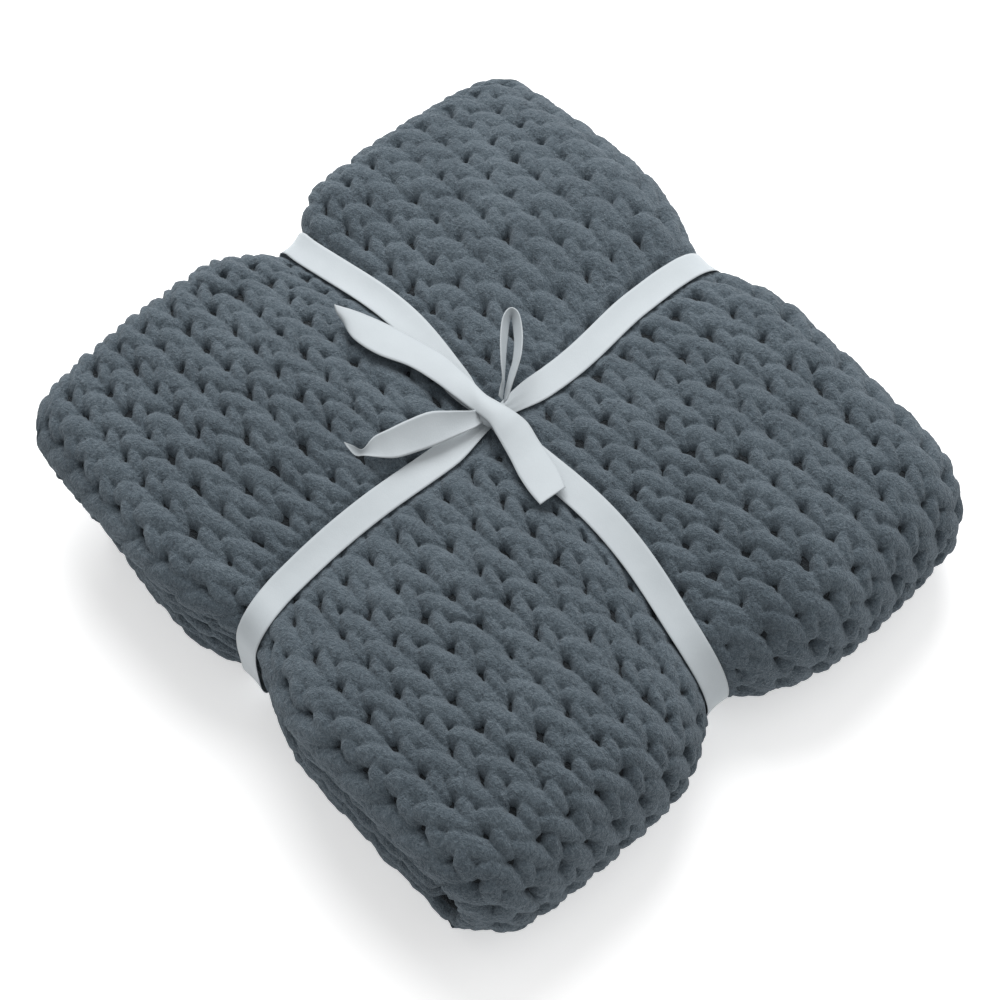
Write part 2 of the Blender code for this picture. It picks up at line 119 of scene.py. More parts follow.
SET_BACK_Y = 0.010
SET_BACK_TOP = 0.072
SET_BACK_BLEND = 0.030

Wave = namedtuple("Wave", "along_x along_y start")
WAVES = (Wave(19, 11, 0.6), Wave(-14, 27, 2.1))

Sway = namedtuple("Sway", "at shift reach")
SWAYS_ACROSS = (
    Sway(-0.225, 0.0050, 0.055),
    Sway(-0.120, -0.0050, 0.100),
    Sway(0.080, 0.0045, 0.064),
    Sway(0.225, 0.0045, 0.055),
)
SWAYS_ALONG = (
    Sway(-0.245, -0.0018, 0.050),
    Sway(-0.122, 0.0095, 0.100),
    Sway(0.105, 0.0078, 0.110),
)

End = namedtuple("End", "notch groove reach_low reach_high")
LEFT_END = End(notch=0.033, groove=0.024, reach_low=0.068, reach_high=0.047)
RIGHT_END = End(notch=0.042, groove=0.030, reach_low=0.080, reach_high=0.098)
NEAR_END = End(notch=0.027, groove=0.018, reach_low=0.085, reach_high=0.085)
FAR_END = End(notch=0.022, groove=0.018, reach_low=0.100, reach_high=0.072)
REACH_BLEND = 0.020

Lobe = namedtuple("Lobe", "side_x side_y more_x more_y")
LOBES = (
    Lobe(-1, -1, -0.004, 0.001),
    Lobe(-1, 1, -0.006, 0.013),
    Lobe(1, -1, -0.002, 0.003),
    Lobe(1, 1, 0.002, 0.010),
)

Layer = namedtuple("Layer", "level x_from x_to half_low half_high bend turn_depth turn_half")
LAYERS = (
    Layer(1, -0.222, BIG_TURN_START, 0.209, 0.207, 0.0, BIG_TURN, CLOTH_HALF_WIDTH),
    Layer(6, BIG_TURN_START, -0.221, CLOTH_HALF_WIDTH, CLOTH_HALF_WIDTH, 1.0, SMALL_TURN, 0.205),
    Layer(5, -0.221, 0.184, 0.189, 0.189, 0.0, SMALL_TURN, 0.182),
    Layer(4, 0.184, -0.202, 0.210, 0.206, 0.0, SMALL_TURN, 0.196),
    Layer(3, -0.202, 0.184, 0.2115, 0.209, 0.0, SMALL_TURN, 0.182),
    Layer(2, 0.184, -0.212, 0.211, 0.208, 0.0, SMALL_TURN, 0.182),
)
print(f"{LAYER_COUNT} layers, {1000 * BUNDLE_HEIGHT:.0f} mm before the ribbon is tight")


# %% Small curves
def mix(a, b, share):
    return a + (b - a) * share


def bump(distance, reach):
    """A smooth hump, 1 at its middle and 0 past its reach."""
    return np.clip(1 - (distance / reach) ** 2, 0, None) ** 2


def cusp(distance, reach):
    """A narrow hump with a slightly rounded point."""
    return np.clip(1 - np.hypot(distance, NOTCH_ROUNDING) / reach, 0, None) ** 2


def ramp(value):
    """A smooth step from 0 to 1."""
    value = np.clip(value, 0, 1)
    return value * value * (3 - 2 * value)


# %% Where a point lies once the ribbon is tight
def swayed(place, sways):
    return sum(sway.shift * bump(place - sway.at, sway.reach) for sway in sways)


def tie_x(y):
    """Where the ribbon across the columns lies."""
    return TIE_X + swayed(y, SWAYS_ACROSS)


def tie_y(x):
    """Where the ribbon along the columns lies: right of the knot it slants a little to the near side."""
    return TIE_Y + TIE_SLANT * np.maximum(0, x - TIE_X) + swayed(x, SWAYS_ALONG)


def lobe_reach(u, v):
    """How much further the cloth reaches here, blended between the four lobes."""
    right = ramp(0.5 + 0.5 * u / LOBE_BLEND)
    far = ramp(0.5 + 0.5 * v / LOBE_BLEND)
    more_x = more_y = 0.0
    for lobe in LOBES:
        share = (right if lobe.side_x > 0 else 1 - right) * (far if lobe.side_y > 0 else 1 - far)
        more_x = more_x + share * lobe.more_x
        more_y = more_y + share * lobe.more_y
    return more_x, more_y


def by_end(value, high_end, low_end, field):
    """The number that the nearer of the two ends has in this field."""
    return np.where(value > 0, getattr(high_end, field), getattr(low_end, field))


def end_reach(value, high_end, low_end, distance):
    """How widely the nearer end draws the edge in, on this side of its line."""
    reach_low, reach_high = (by_end(value, high_end, low_end, name) for name in ("reach_low", "reach_high"))
    return mix(reach_low, reach_high, ramp(0.5 + distance / (2 * REACH_BLEND)))


def settled(x, y, z):
    """Moves points of the even bundle to where they lie once the ribbon is tight."""
    x, y, z = np.broadcast_arrays(*(np.asarray(value, float) for value in (x, y, z)))
    u, v = x / HALF_LENGTH, y / HALF_DEPTH
    off_x, off_y = x - tie_x(y), y - tie_y(x)
    cusp_x = cusp(off_x, end_reach(y, FAR_END, NEAR_END, off_x))
    cusp_y = cusp(off_y, end_reach(x, RIGHT_END, LEFT_END, off_y))
    trough_x = mix(bump(off_x, GROOVE_REACH), cusp_x, np.minimum(1, v * v))
    trough_y = mix(bump(off_y, GROOVE_REACH), cusp_y, np.minimum(1, u * u))
    along_y = trough_x * mix(GROOVE_DEPTH, by_end(y, FAR_END, NEAR_END, "groove"), v * v)
    along_x = trough_y * mix(GROOVE_DEPTH, by_end(x, RIGHT_END, LEFT_END, "groove"), u * u)
    wave = sum(np.sin(row.along_x * x + row.along_y * y + row.start) for row in WAVES)
    top = BUNDLE_HEIGHT - np.maximum(along_x, along_y) - SHALLOWER_GROOVE * np.minimum(along_x, along_y)
    top = top - CROWN_FALL_X * abs(u) ** CROWN_POWER - CROWN_FALL_Y * abs(v) ** CROWN_POWER + UNEVEN * wave
    lift = UNDERSIDE_LIFT * np.maximum(bump(off_x, UNDERSIDE_REACH), bump(off_y, UNDERSIDE_REACH))
    more_x, more_y = lobe_reach(u, v)
    out_x = more_x * u * u - by_end(x, RIGHT_END, LEFT_END, "notch") * cusp_y * abs(u) ** NOTCH_POWER
    out_y = more_y * v * v - by_end(y, FAR_END, NEAR_END, "notch") * cusp_x * abs(v) ** NOTCH_POWER
    below = ramp(-u) * ramp(-v) * ramp((SET_BACK_TOP - z) / SET_BACK_BLEND)
    out_x = out_x - SET_BACK_X * u * u * below
    out_y = out_y - SET_BACK_Y * v * v * below
    drawn_x = x * (1 - CORNER_DRAW * abs(v) ** CORNER_POWER) + np.where(x < 0, -1, 1) * out_x
    drawn_y = y * (1 - CORNER_DRAW * abs(u) ** CORNER_POWER) + np.where(y < 0, -1, 1) * out_y
    settled_z = lift + z * (top - lift) / BUNDLE_HEIGHT
    return np.stack([drawn_x - BOX_MIDDLE_X, drawn_y - BOX_MIDDLE_Y, settled_z], axis=-1)


print("under the knot, in mm:", (1000 * settled(TIE_X, TIE_Y, BUNDLE_HEIGHT)).round(1))


# %% The line that the cloth follows, from its first layer to its last
STRAIGHT_STEPS = 60
TURN_STEPS = 40


def layer_height(level):
    return HALF_THICKNESS + (level - 1) * LAYER_PITCH


def straight_section(layer):
    x = np.linspace(layer.x_from, layer.x_to, STRAIGHT_STEPS)
    heading = 1.0 if layer.x_to > layer.x_from else -1.0
    rest = (layer_height(layer.level), heading, 0.0, layer.half_low, layer.half_high, layer.bend)
    return np.stack([x, *(np.full_like(x, value) for value in rest)], axis=1)


def turn_section(layer, following):
    share = np.linspace(0, 1, TURN_STEPS + 2)[1:-1]
    angle = math.pi * share
    z_from, z_to = layer_height(layer.level), layer_height(following.level)
    side = 1 if layer.x_to > 0 else -1
    radius = (z_from - z_to) / 2
    along_x = side * layer.turn_depth * np.cos(angle)
    along_z = -radius * np.sin(angle)
    length = np.hypot(along_x, along_z)
    widening = np.sin(angle)
    return np.stack([
        layer.x_to + side * layer.turn_depth * np.sin(angle),
        (z_from + z_to) / 2 + radius * np.cos(angle),
        along_x / length,
        along_z / length,
        mix(mix(layer.half_low, following.half_low, share), layer.turn_half, widening),
        mix(mix(layer.half_high, following.half_high, share), layer.turn_half, widening),
        mix(layer.bend, following.bend, share) if layer.level > 1 else np.minimum(1, BEND_HURRY * share),
    ], axis=1)


sections, layer_starts, layer_ends = [], [], []
for index, layer in enumerate(LAYERS):
    layer_starts.append(sum(len(part) for part in sections))
    sections.append(straight_section(layer))
    layer_ends.append(sum(len(part) for part in sections) - 1)
    if index + 1 < len(LAYERS):
        sections.append(turn_section(layer, LAYERS[index + 1]))
sections = np.concatenate(sections)
FACE_LINE = 0.5 * HALF_THICKNESS
line_x = sections[:, 0] + sections[:, 3] * FACE_LINE
line_z = sections[:, 1] - sections[:, 2] * FACE_LINE
line = np.stack([line_x, line_z], axis=1)
lengths = np.concatenate([[0], np.cumsum(np.linalg.norm(np.diff(line, axis=0), axis=1))])
layer_starts = lengths[layer_starts]
layer_ends = lengths[layer_ends]
print(f"the cloth is {lengths[-1]:.2f} m long")


# %% From the cloth to the bundle
def even_point(length, across, height):
    """A point of the even bundle.

    length is along the cloth, across in columns from 0 to 20, and height is out of its middle."""
    x, z, along_x, along_z, low, high, bend = (np.interp(length, lengths, column) for column in sections.T)
    size = np.hypot(along_x, along_z)
    along_x, along_z = along_x / size, along_z / size
    place = -low + (low + high) * across / COLUMNS
    beyond = np.maximum(0, abs(place) - BEND_START)
    angle = np.minimum(beyond / BEND_RADIUS, bend * BEND_ANGLE)
    flat = beyond - angle * BEND_RADIUS
    y = np.minimum(abs(place), BEND_START) + (BEND_RADIUS + height) * np.sin(angle) + flat * np.cos(angle)
    depth = BEND_RADIUS * (1 - np.cos(angle)) + flat * np.sin(angle)
    out = height * np.cos(angle) - depth
    return x + along_z * out, np.where(place < 0, -1, 1) * y, z - along_x * out


# %% [markdown]
# ## The ribbon presses the yarn down
# Soft yarn gives way under a tight ribbon and bulges beside it. So the stitches under the two ribbon
# lines are flattened, and the ribbon is laid that much lower. Both use the same measure, so they
# never cross.

# %% Press
PRESS = 0.0040
PRESS_FLAT = 0.0105
PRESS_EDGE = 0.0060
SIDE_EASE_START = 0.206
SIDE_EASE = 0.030


def under_strap(distance):
    """1 under a strap, 0 beside it."""
    return 1 - ramp((abs(distance) - PRESS_FLAT) / PRESS_EDGE)


def press_across(y, z):
    """How far the strap across the columns is pressed in: on the top only, and less towards the sides."""
    return PRESS * ramp((SIDE_EASE_START - abs(y)) / SIDE_EASE) * (z > BUNDLE_HEIGHT / 2)


def pressed(x, y, z):
    return np.maximum(press_across(y, z) * under_strap(x - tie_x(y)), PRESS * under_strap(y - tie_y(x)))


def on_cloth(length, across, height):
    """A point on the tied bundle."""
    x, y, z = even_point(length, across, height)
    low = -HALF_THICKNESS
    height = low + (height - low) * (1 - pressed(x, y, z) / (HALF_THICKNESS - low))
    return settled(*even_point(length, across, height))


# %% [markdown]
# ## Materials
# A material here is worked out as a formula on sockets. The small class below wraps a socket, so that
# plus, minus, times and the rest add the nodes. Colours go through Mix nodes, because a Math node
# would turn them grey.

# %% Sockets that add up
class Value:
    """One output of a node."""

    def __init__(self, tree, socket=None):
        self.tree, self.socket = tree, socket

    def node(self, kind, settings=None, inputs=None, output=0):
        """Adds a node: its settings first, then the values or links of its sockets."""
        node = self.tree.nodes.new(kind)
        for name, value in (settings or {}).items():
            setattr(node, name, value)
        for name, value in (inputs or {}).items():
            if isinstance(value, Value):
                self.tree.links.new(value.socket, node.inputs[name])
            else:
                node.inputs[name].default_value = value
        return Value(self.tree, node.outputs[output]) if node.outputs else None

    def maths(self, operation, first, second):
        return self.node("ShaderNodeMath", {"operation": operation}, {0: first, 1: second})

    def __add__(self, other):
        return self.maths("ADD", self, other)

    def __sub__(self, other):
        return self.maths("SUBTRACT", self, other)

    def __rsub__(self, other):
        return self.maths("SUBTRACT", other, self)

    def __mul__(self, other):
        return self.maths("MULTIPLY", self, other)

    __radd__ = __add__
    __rmul__ = __mul__


def new_material(name):
    """A material without nodes, and the place on the object, from which its formulas start."""
    material = bpy.data.materials.new(name)
    material.use_nodes = True
    material.node_tree.nodes.clear()
    return material, Value(material.node_tree).node("ShaderNodeTexCoord", output="Object")


def noise(place, scale, detail=2.0, roughness=0.5):
    sizes = {"Vector": place, "Scale": scale, "Detail": detail, "Roughness": roughness}
    return place.node("ShaderNodeTexNoise", inputs=sizes)


def blend_colours(share, first, second):
    inputs = {0: share, 6: first, 7: second}
    return share.node("ShaderNodeMix", {"data_type": "RGBA", "clamp_factor": True}, inputs, output=2)


def bumped(height, strength, distance):
    inputs = {"Strength": strength, "Distance": distance, "Height": height}
    return height.node("ShaderNodeBump", inputs=inputs)


def finish_material(place, inputs):
    shader = place.node("ShaderNodeBsdfPrincipled", inputs=inputs)
    shader.node("ShaderNodeOutputMaterial", inputs={"Surface": shader})


# %% [markdown]
# ### Chenille
# Chenille yarn is all short pile: matt and a little brighter at grazing angles. Sheen does the grazing
# light. Four sizes of noise vary the colour, and the three finer ones are also a bump; the colour is darker
# where that bump dips, which is painted shade in the pits of the pile. The broadest noise is a random tone.

# %% Chenille material
FINE_SCALE = 1150.0
PILE_SCALE = 520.0
TUFT_SCALE = 170.0
PATCH_SCALE = 26.0
YARN_RELIEF = 0.0045
# Painted shade: YARN_DARK stands for the pits of the pile and YARN_LIGHT for its tops, each mixed with some
# random tone.
YARN_DARK = (0.040, 0.053, 0.066, 1.0)
YARN_MIDDLE = (0.078, 0.103, 0.123, 1.0)
YARN_LIGHT = (0.128, 0.161, 0.187, 1.0)
MIDDLE_FROM, LIGHT_FROM = 0.39, 0.50
TONE_AND_PIT_SHADE_CONTRAST = 11.0
# Painted shade: the ground's yarn is far darker than the face's, so that the holes between the stitches show
# dark.
GROUND_SHADE_BRIGHTNESS = 0.12


def chenille(name, brightness=1.0):
    material, place = new_material(name)
    fine = noise(place, FINE_SCALE, 2.0, 0.6)
    pile = noise(place, PILE_SCALE, 3.0, 0.65)
    tuft = noise(place, TUFT_SCALE, 2.0, 0.6)
    patch = noise(place, PATCH_SCALE)
    dark, middle, light = (
        tuple(brightness * part for part in colour[:3]) + (1.0,)
        for colour in (YARN_DARK, YARN_MIDDLE, YARN_LIGHT)
    )
    # Painted shade: the colour follows the bump's noises, darker where the pile dips, plus a broad random
    # tone.
    pile_tone_and_pit_shade = fine * 0.36 + pile * 0.38 + tuft * 0.13 + patch * 0.13
    lower = blend_colours((pile_tone_and_pit_shade - MIDDLE_FROM) * TONE_AND_PIT_SHADE_CONTRAST, dark, middle)
    finish_material(place, {
        "Base Color": blend_colours((pile_tone_and_pit_shade - LIGHT_FROM) * TONE_AND_PIT_SHADE_CONTRAST, lower, light),
        "Roughness": 0.96 - pile * 0.08,
        "Specular IOR Level": 0.12,
        "Sheen Weight": 0.22,
        "Sheen Roughness": 0.60,
        "Sheen Tint": (0.80, 0.88, 0.95, 1.0),
        "Normal": bumped(fine * 0.30 + pile * 0.45 + tuft * 0.25, 1.0, YARN_RELIEF),
    })
    return material


yarn_material = chenille("chenille_pile")
shade_ground_material = chenille("chenille_ground", brightness=GROUND_SHADE_BRIGHTNESS)
print("materials:", yarn_material.name, shade_ground_material.name)


# %% [markdown]
# ### Satin ribbon
# The ribbon is a soft satin: smooth, pale grey-white, with a broad low gloss and very fine threads
# along it. A faint noise stands for the threads, and a broader one for the slight unevenness of a
# pressed ribbon.

# %% Satin material
THREAD_SCALE = 1500.0
RIPPLE_SCALE = 85.0
SATIN_RELIEF = 0.0009
SATIN_LIGHT = (0.500, 0.540, 0.565, 1.0)
SATIN_DARK = (0.430, 0.470, 0.495, 1.0)


def satin(name):
    material, place = new_material(name)
    threads = noise(place, THREAD_SCALE, 1.0)
    ripples = noise(place, RIPPLE_SCALE, 2.0)
    finish_material(place, {
        "Base Color": blend_colours(threads * 0.5 + ripples * 0.5, SATIN_DARK, SATIN_LIGHT),
        "Roughness": 0.50 + threads * 0.10,
        "Specular IOR Level": 0.22,
        "Sheen Weight": 0.15,
        "Sheen Roughness": 0.40,
        "Normal": bumped(threads * 0.25 + ripples * 0.75, 0.35, SATIN_RELIEF),
    })
    return material


ribbon_material = satin("satin_weave")
print("material:", ribbon_material.name)


# %% [markdown]
# ## Meshes from arrays
# Thousands of stitches make hundreds of thousands of faces. Filling a mesh from arrays is many times
# faster than adding faces one by one.

# %% Mesh helper
def make_piece(name, points, triangles, material):
    mesh = bpy.data.meshes.new(name)
    mesh.vertices.add(len(points))
    mesh.vertices.foreach_set("co", np.ascontiguousarray(points, np.float32).ravel())
    mesh.loops.add(triangles.size)
    mesh.loops.foreach_set("vertex_index", np.ascontiguousarray(triangles, np.int32).ravel())
    mesh.polygons.add(len(triangles))
    mesh.polygons.foreach_set("loop_start", np.arange(0, triangles.size, 3, dtype=np.int32))
    mesh.update(calc_edges=True)
    mesh.validate()
    mesh.shade_smooth()
    mesh.materials.append(material)
    piece = bpy.data.objects.new(name, mesh)
    bpy.context.scene.collection.objects.link(piece)
    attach(piece, "root")
    return piece


def grid_triangles(rows, columns, wrap_rows=False, wrap_columns=False):
    """Two triangles for each cell of a grid of points."""
    cell_rows = np.arange(rows if wrap_rows else rows - 1)
    cell_columns = np.arange(columns if wrap_columns else columns - 1)
    i, j = np.meshgrid(cell_rows, cell_columns, indexing="ij")
    i, j = i.ravel(), j.ravel()
    i2, j2 = (i + 1) % rows, (j + 1) % columns
    a, b, c, d = i * columns + j, i * columns + j2, i2 * columns + j2, i2 * columns + j
    return np.concatenate([np.stack([a, b, c], 1), np.stack([a, c, d], 1)])


def closed_band(rings, across):
    """The triangles of a band whose rings go along its upper side and back along its lower side."""
    around = 2 * across
    caps = []
    for j in range(across - 1):
        a, b, c, d = j, j + 1, around - 2 - j, around - 1 - j
        end = (rings - 1) * around
        caps += [(a, c, b), (a, d, c), (end + a, end + b, end + c), (end + a, end + c, end + d)]
    return np.concatenate([grid_triangles(rings, around, wrap_columns=True), np.array(caps)])


# %% [markdown]
# ## The ground of the cloth
# Behind the front loops of a knit lie the backs of the stitches, a closed layer. It is one long sheet here,
# folded back and forth through all six layers, and the yarn lies on its face. Its yarn is painted far darker
# than the yarn on the face: painted shade, for the shade deep in the holes between the stitches.

# %% Ground cloth
GROUND_FACE = -0.0008
GROUND_BACK = -0.0078
GROUND_INSET = 0.30
ROW_STEP = 0.010
PLACES_ACROSS = 46
CLOTH_END = 0.004

stations = np.linspace(CLOTH_END, lengths[-1] - CLOTH_END, int(lengths[-1] / ROW_STEP))
places = np.linspace(GROUND_INSET, COLUMNS - GROUND_INSET, PLACES_ACROSS)
loop_places = np.concatenate([places, places[::-1]])
loop_heights = np.concatenate([np.full(PLACES_ACROSS, GROUND_FACE), np.full(PLACES_ACROSS, GROUND_BACK)])
ground_points = on_cloth(stations[:, None], loop_places[None, :], loop_heights[None, :])
ground_triangles = closed_band(len(stations), PLACES_ACROSS)
ground = make_piece("throw_ground", ground_points.reshape(-1, 3), ground_triangles, shade_ground_material)
print("ground:", len(ground.data.polygons), "triangles")

# %% [markdown]
# ## The stitches
# In stocking stitch each loop shows as a V of two legs. In this throw the yarn is so fat that the two legs
# look different: a big one with a blunt, rounded end that lies on top, and a small one half tucked beside
# it, with a little dark hole where they part. The yarn is also so soft that the legs press into one another.
# So each face of the cloth is one knitted skin here: a fine grid, lifted at each point to the highest of the
# legs that pass there, with the edges between them rounded off. Where no leg reaches, the skin dips under
# the ground, whose yarn is painted dark as shade, and that is the hole. A leg is a short table.

# %% The two legs of a stitch
Leg = namedtuple("Leg", "along across crest half_width")
STITCH_SPAN = 0.0255
BIG_LEG = (
    Leg(-0.0082, -0.0044, 0.0000, 0.0008),
    Leg(-0.0077, -0.0043, 0.0044, 0.0042),
    Leg(-0.0062, -0.0040, 0.0065, 0.0066),
    Leg(-0.0035, -0.0034, 0.0076, 0.0082),
    Leg(0.0005, -0.0024, 0.0081, 0.0091),
    Leg(0.0060, -0.0008, 0.0080, 0.0092),
    Leg(0.0120, 0.0010, 0.0076, 0.0088),
    Leg(0.0180, 0.0028, 0.0069, 0.0081),
    Leg(0.0225, 0.0043, 0.0058, 0.0071),
    Leg(0.0260, 0.0055, 0.0042, 0.0057),
    Leg(0.0285, 0.0063, 0.0022, 0.0038),
    Leg(0.0300, 0.0068, -0.0004, 0.0012),
)
SMALL_LEG = (
    Leg(0.0036, -0.0052, 0.0000, 0.0008),
    Leg(0.0044, -0.0055, 0.0046, 0.0038),
    Leg(0.0064, -0.0063, 0.0066, 0.0052),
    Leg(0.0098, -0.0076, 0.0075, 0.0062),
    Leg(0.0140, -0.0089, 0.0076, 0.0064),
    Leg(0.0180, -0.0099, 0.0070, 0.0060),
    Leg(0.0218, -0.0107, 0.0060, 0.0052),
    Leg(0.0248, -0.0113, 0.0045, 0.0042),
    Leg(0.0270, -0.0117, 0.0024, 0.0027),
    Leg(0.0280, -0.0119, -0.0002, 0.0008),
)
print("a big leg is", round(1000 * (BIG_LEG[-1].along - BIG_LEG[0].along)), "mm long")

# %% [markdown]
# The rows aren't evenly spaced. The ribbon stretches the cloth in the middle of the bundle, and towards
# the left fold it is bunched up, so the stitches are long at the knot and short at the left.

# %% Where the rows lie
Spacing = namedtuple("Spacing", "x pitch")
TOP_SPACING = (
    Spacing(-0.230, 0.0205),
    Spacing(-0.165, 0.0215),
    Spacing(-0.110, 0.0235),
    Spacing(-0.055, 0.0290),
    Spacing(0.000, 0.0300),
    Spacing(0.055, 0.0270),
    Spacing(0.110, 0.0255),
    Spacing(0.230, 0.0250),
)
REST_PITCH = 0.0255
FIRST_ROW = 0.036

row_starts, row_spans = [FIRST_ROW], [REST_PITCH]
while row_starts[-1] < lengths[-1] - REST_PITCH:
    here = row_starts[-1]
    pitch = REST_PITCH
    if layer_starts[1] < here < layer_ends[1]:
        x_here = np.interp(here, lengths, sections[:, 0])
        pitch = np.interp(x_here, [row.x for row in TOP_SPACING], [row.pitch for row in TOP_SPACING])
    row_starts.append(here + pitch)
    row_spans.append(pitch)
row_starts, row_spans = np.array(row_starts), np.array(row_spans)
print(len(row_starts), "rows in the whole throw")

# %% [markdown]
# No two stitches of soft yarn are alike. Each leg is shifted, turned, bowed and made larger or smaller
# by a little, and swells and narrows along its length. The numbers are drawn once for the whole throw
# from a seeded generator, so that every run gives the same throw and the faces fit at their seams.

# %% How each leg differs
Jitter = namedtuple("Jitter", "along across turn bow size length crest swell_one swell_two")
JITTER = Jitter(0.0015, 0.0010, 0.070, 0.0010, 0.07, 0.06, 0.0006, math.pi, math.pi)
rng = np.random.default_rng(11)
leg_jitter = rng.uniform(-1, 1, (2, len(row_starts), COLUMNS, len(JITTER))) * JITTER
SWELL_ONE, SWELL_TWO = 0.05, 0.04
SWELL_ONE_RATE, SWELL_TWO_RATE = 2 * math.pi / 0.013, 2 * math.pi / 0.007
WALL_DROP = 0.9
END_DROP = 3.6
LEG_FOOT = -0.0022
FLOOR = -0.0048
SOFTNESS = 0.00048
# Where a leg's middle lies from its row's start, and how far a leg counts along and across.
LEG_MIDDLE = 0.012
LEG_REACH_ALONG = 0.026
LEG_REACH_ACROSS = 0.024
# In the far left lobe the stitches are packed so closely that the holes close.
FULLER = 0.16
FULLER_FROM = 0.010
FULLER_BLEND = 0.060
FULLER_PAST_FOLD = 0.030
FULLER_COLUMN = 11
FULLER_COLUMNS = 4
top_middle = 0.5 * (layer_starts[1] + layer_ends[1])
print("each leg differs in", len(JITTER), "ways")

# %% The height of the skin
RIPPLES = 26
RIPPLE_LONGEST, RIPPLE_SHORTEST = 0.010, 0.0030
RIPPLE_HEIGHT = 0.000045
ripple_size = np.geomspace(RIPPLE_LONGEST, RIPPLE_SHORTEST, RIPPLES)
ripple_turn = rng.uniform(0, 2 * math.pi, RIPPLES)
ripple_start = rng.uniform(0, 2 * math.pi, RIPPLES)


def leg_height(table, a, b, differs, fuller):
    """The height of one leg over a small grid: a along the column and b across it."""
    table = np.array(table)
    stretched = (a - differs.along) / (1 + differs.length)
    share = np.interp(stretched, [table[0, 0], table[-1, 0]], [-1, 1])
    axis = np.interp(stretched, table[:, 0], table[:, 1]) + differs.across
    axis = axis + differs.turn * (stretched - table[:, 0].mean()) + differs.bow * (1 - share ** 2)
    swell = SWELL_ONE * np.sin(SWELL_ONE_RATE * stretched + differs.swell_one)
    swell = swell + SWELL_TWO * np.sin(SWELL_TWO_RATE * stretched + differs.swell_two)
    width = np.interp(stretched, table[:, 0], table[:, 3]) * (1 + differs.size + swell) * fuller
    crest = np.interp(stretched, table[:, 0], table[:, 2]) + differs.crest
    beside = abs(b[None, :] - axis[:, None]) / width[:, None]
    dome = np.sqrt(np.clip(1 - beside ** 2, 0, None))
    height = LEG_FOOT + (crest[:, None] - LEG_FOOT) * dome
    height -= WALL_DROP * np.clip(beside - 1, 0, None) * width[:, None]
    outside = np.maximum(table[0, 0] - stretched, stretched - table[-1, 0])
    return height - END_DROP * np.clip(outside, 0, None)[:, None]


def skin_height(stations, places):
    """The height of the knitted skin at each station along the cloth and each place across it."""
    total = np.full((len(stations), len(places)), math.exp(FLOOR / SOFTNESS))
    for row, (row_start, span) in enumerate(zip(row_starts, row_spans)):
        stretch = span / STITCH_SPAN
        rows = np.nonzero(abs(row_start - stations - LEG_MIDDLE * stretch) < LEG_REACH_ALONG * stretch)[0]
        if not len(rows):
            continue
        a = (row_start - stations[rows]) / stretch
        packed_along = ramp((row_start - top_middle - FULLER_FROM) / FULLER_BLEND)
        packed_along = packed_along * (row_start < layer_ends[1] + FULLER_PAST_FOLD)
        for column in range(COLUMNS):
            middle = (column + 0.5) * COLUMN_WIDTH
            columns = np.nonzero(abs(places - middle) < LEG_REACH_ACROSS)[0]
            if not len(columns):
                continue
            window = np.ix_(rows, columns)
            fuller = 1 + FULLER * packed_along * ramp((column - FULLER_COLUMN) / FULLER_COLUMNS)
            for leg, table in enumerate((BIG_LEG, SMALL_LEG)):
                differs = Jitter(*leg_jitter[leg, row, column])
                height = leg_height(table, a, places[columns] - middle, differs, fuller)
                total[window] += np.exp(height / SOFTNESS)
    height = SOFTNESS * np.log(total)
    ripple = 0.0
    for size, turn, start in zip(ripple_size, ripple_turn, ripple_start):
        along, across = stations * math.cos(turn), places * math.sin(turn)
        ripple = ripple + np.sin(2 * math.pi / size * (along[:, None] + across[None, :]) + start)
    return height + RIPPLE_HEIGHT * ripple


# %% Lay the skin on every face that shows
Face = namedtuple("Face", "name from_length to_length step_along step_across cuts side most")
PAST_LEFT_TURN = 0.020
left_turn_end = 0.5 * (layer_ends[1] + layer_starts[2]) + PAST_LEFT_TURN
TOP_STEP = 0.00102
SKIN_MARGIN = 0.003
MORE_LEFT = 0.018
MORE_INNER = 0.024
BARE_END = 0.075
ANY_HEIGHT = 1.0
FACES = (
    Face("stitches_top", layer_starts[1], layer_ends[1], TOP_STEP, TOP_STEP, 2, 1, ANY_HEIGHT),
    Face("stitches_right_fold", layer_ends[0], layer_starts[1], 0.0014, TOP_STEP, 1, 1, ANY_HEIGHT),
    Face("stitches_left_fold", layer_ends[1], left_turn_end + MORE_LEFT, 0.0014, TOP_STEP, 1, 1, ANY_HEIGHT),
    Face("stitches_underside", CLOTH_END, layer_ends[0], 0.0032, 0.0025, 1, 1, HALF_THICKNESS),
    Face("stitches_inner_fold", layer_ends[3] - MORE_INNER, layer_starts[4] + MORE_INNER, 0.0020, 0.0020,
         1, 1, ANY_HEIGHT),
    Face("stitches_inner_side", CLOTH_END, BARE_END, 0.0020, 0.0020, 1, -1, ANY_HEIGHT),
)
# On the inner side of the lowest layer, which shows at the left, the relief is shallow.
INNER_FOOT = -0.0074
INNER_SHARE = 0.14

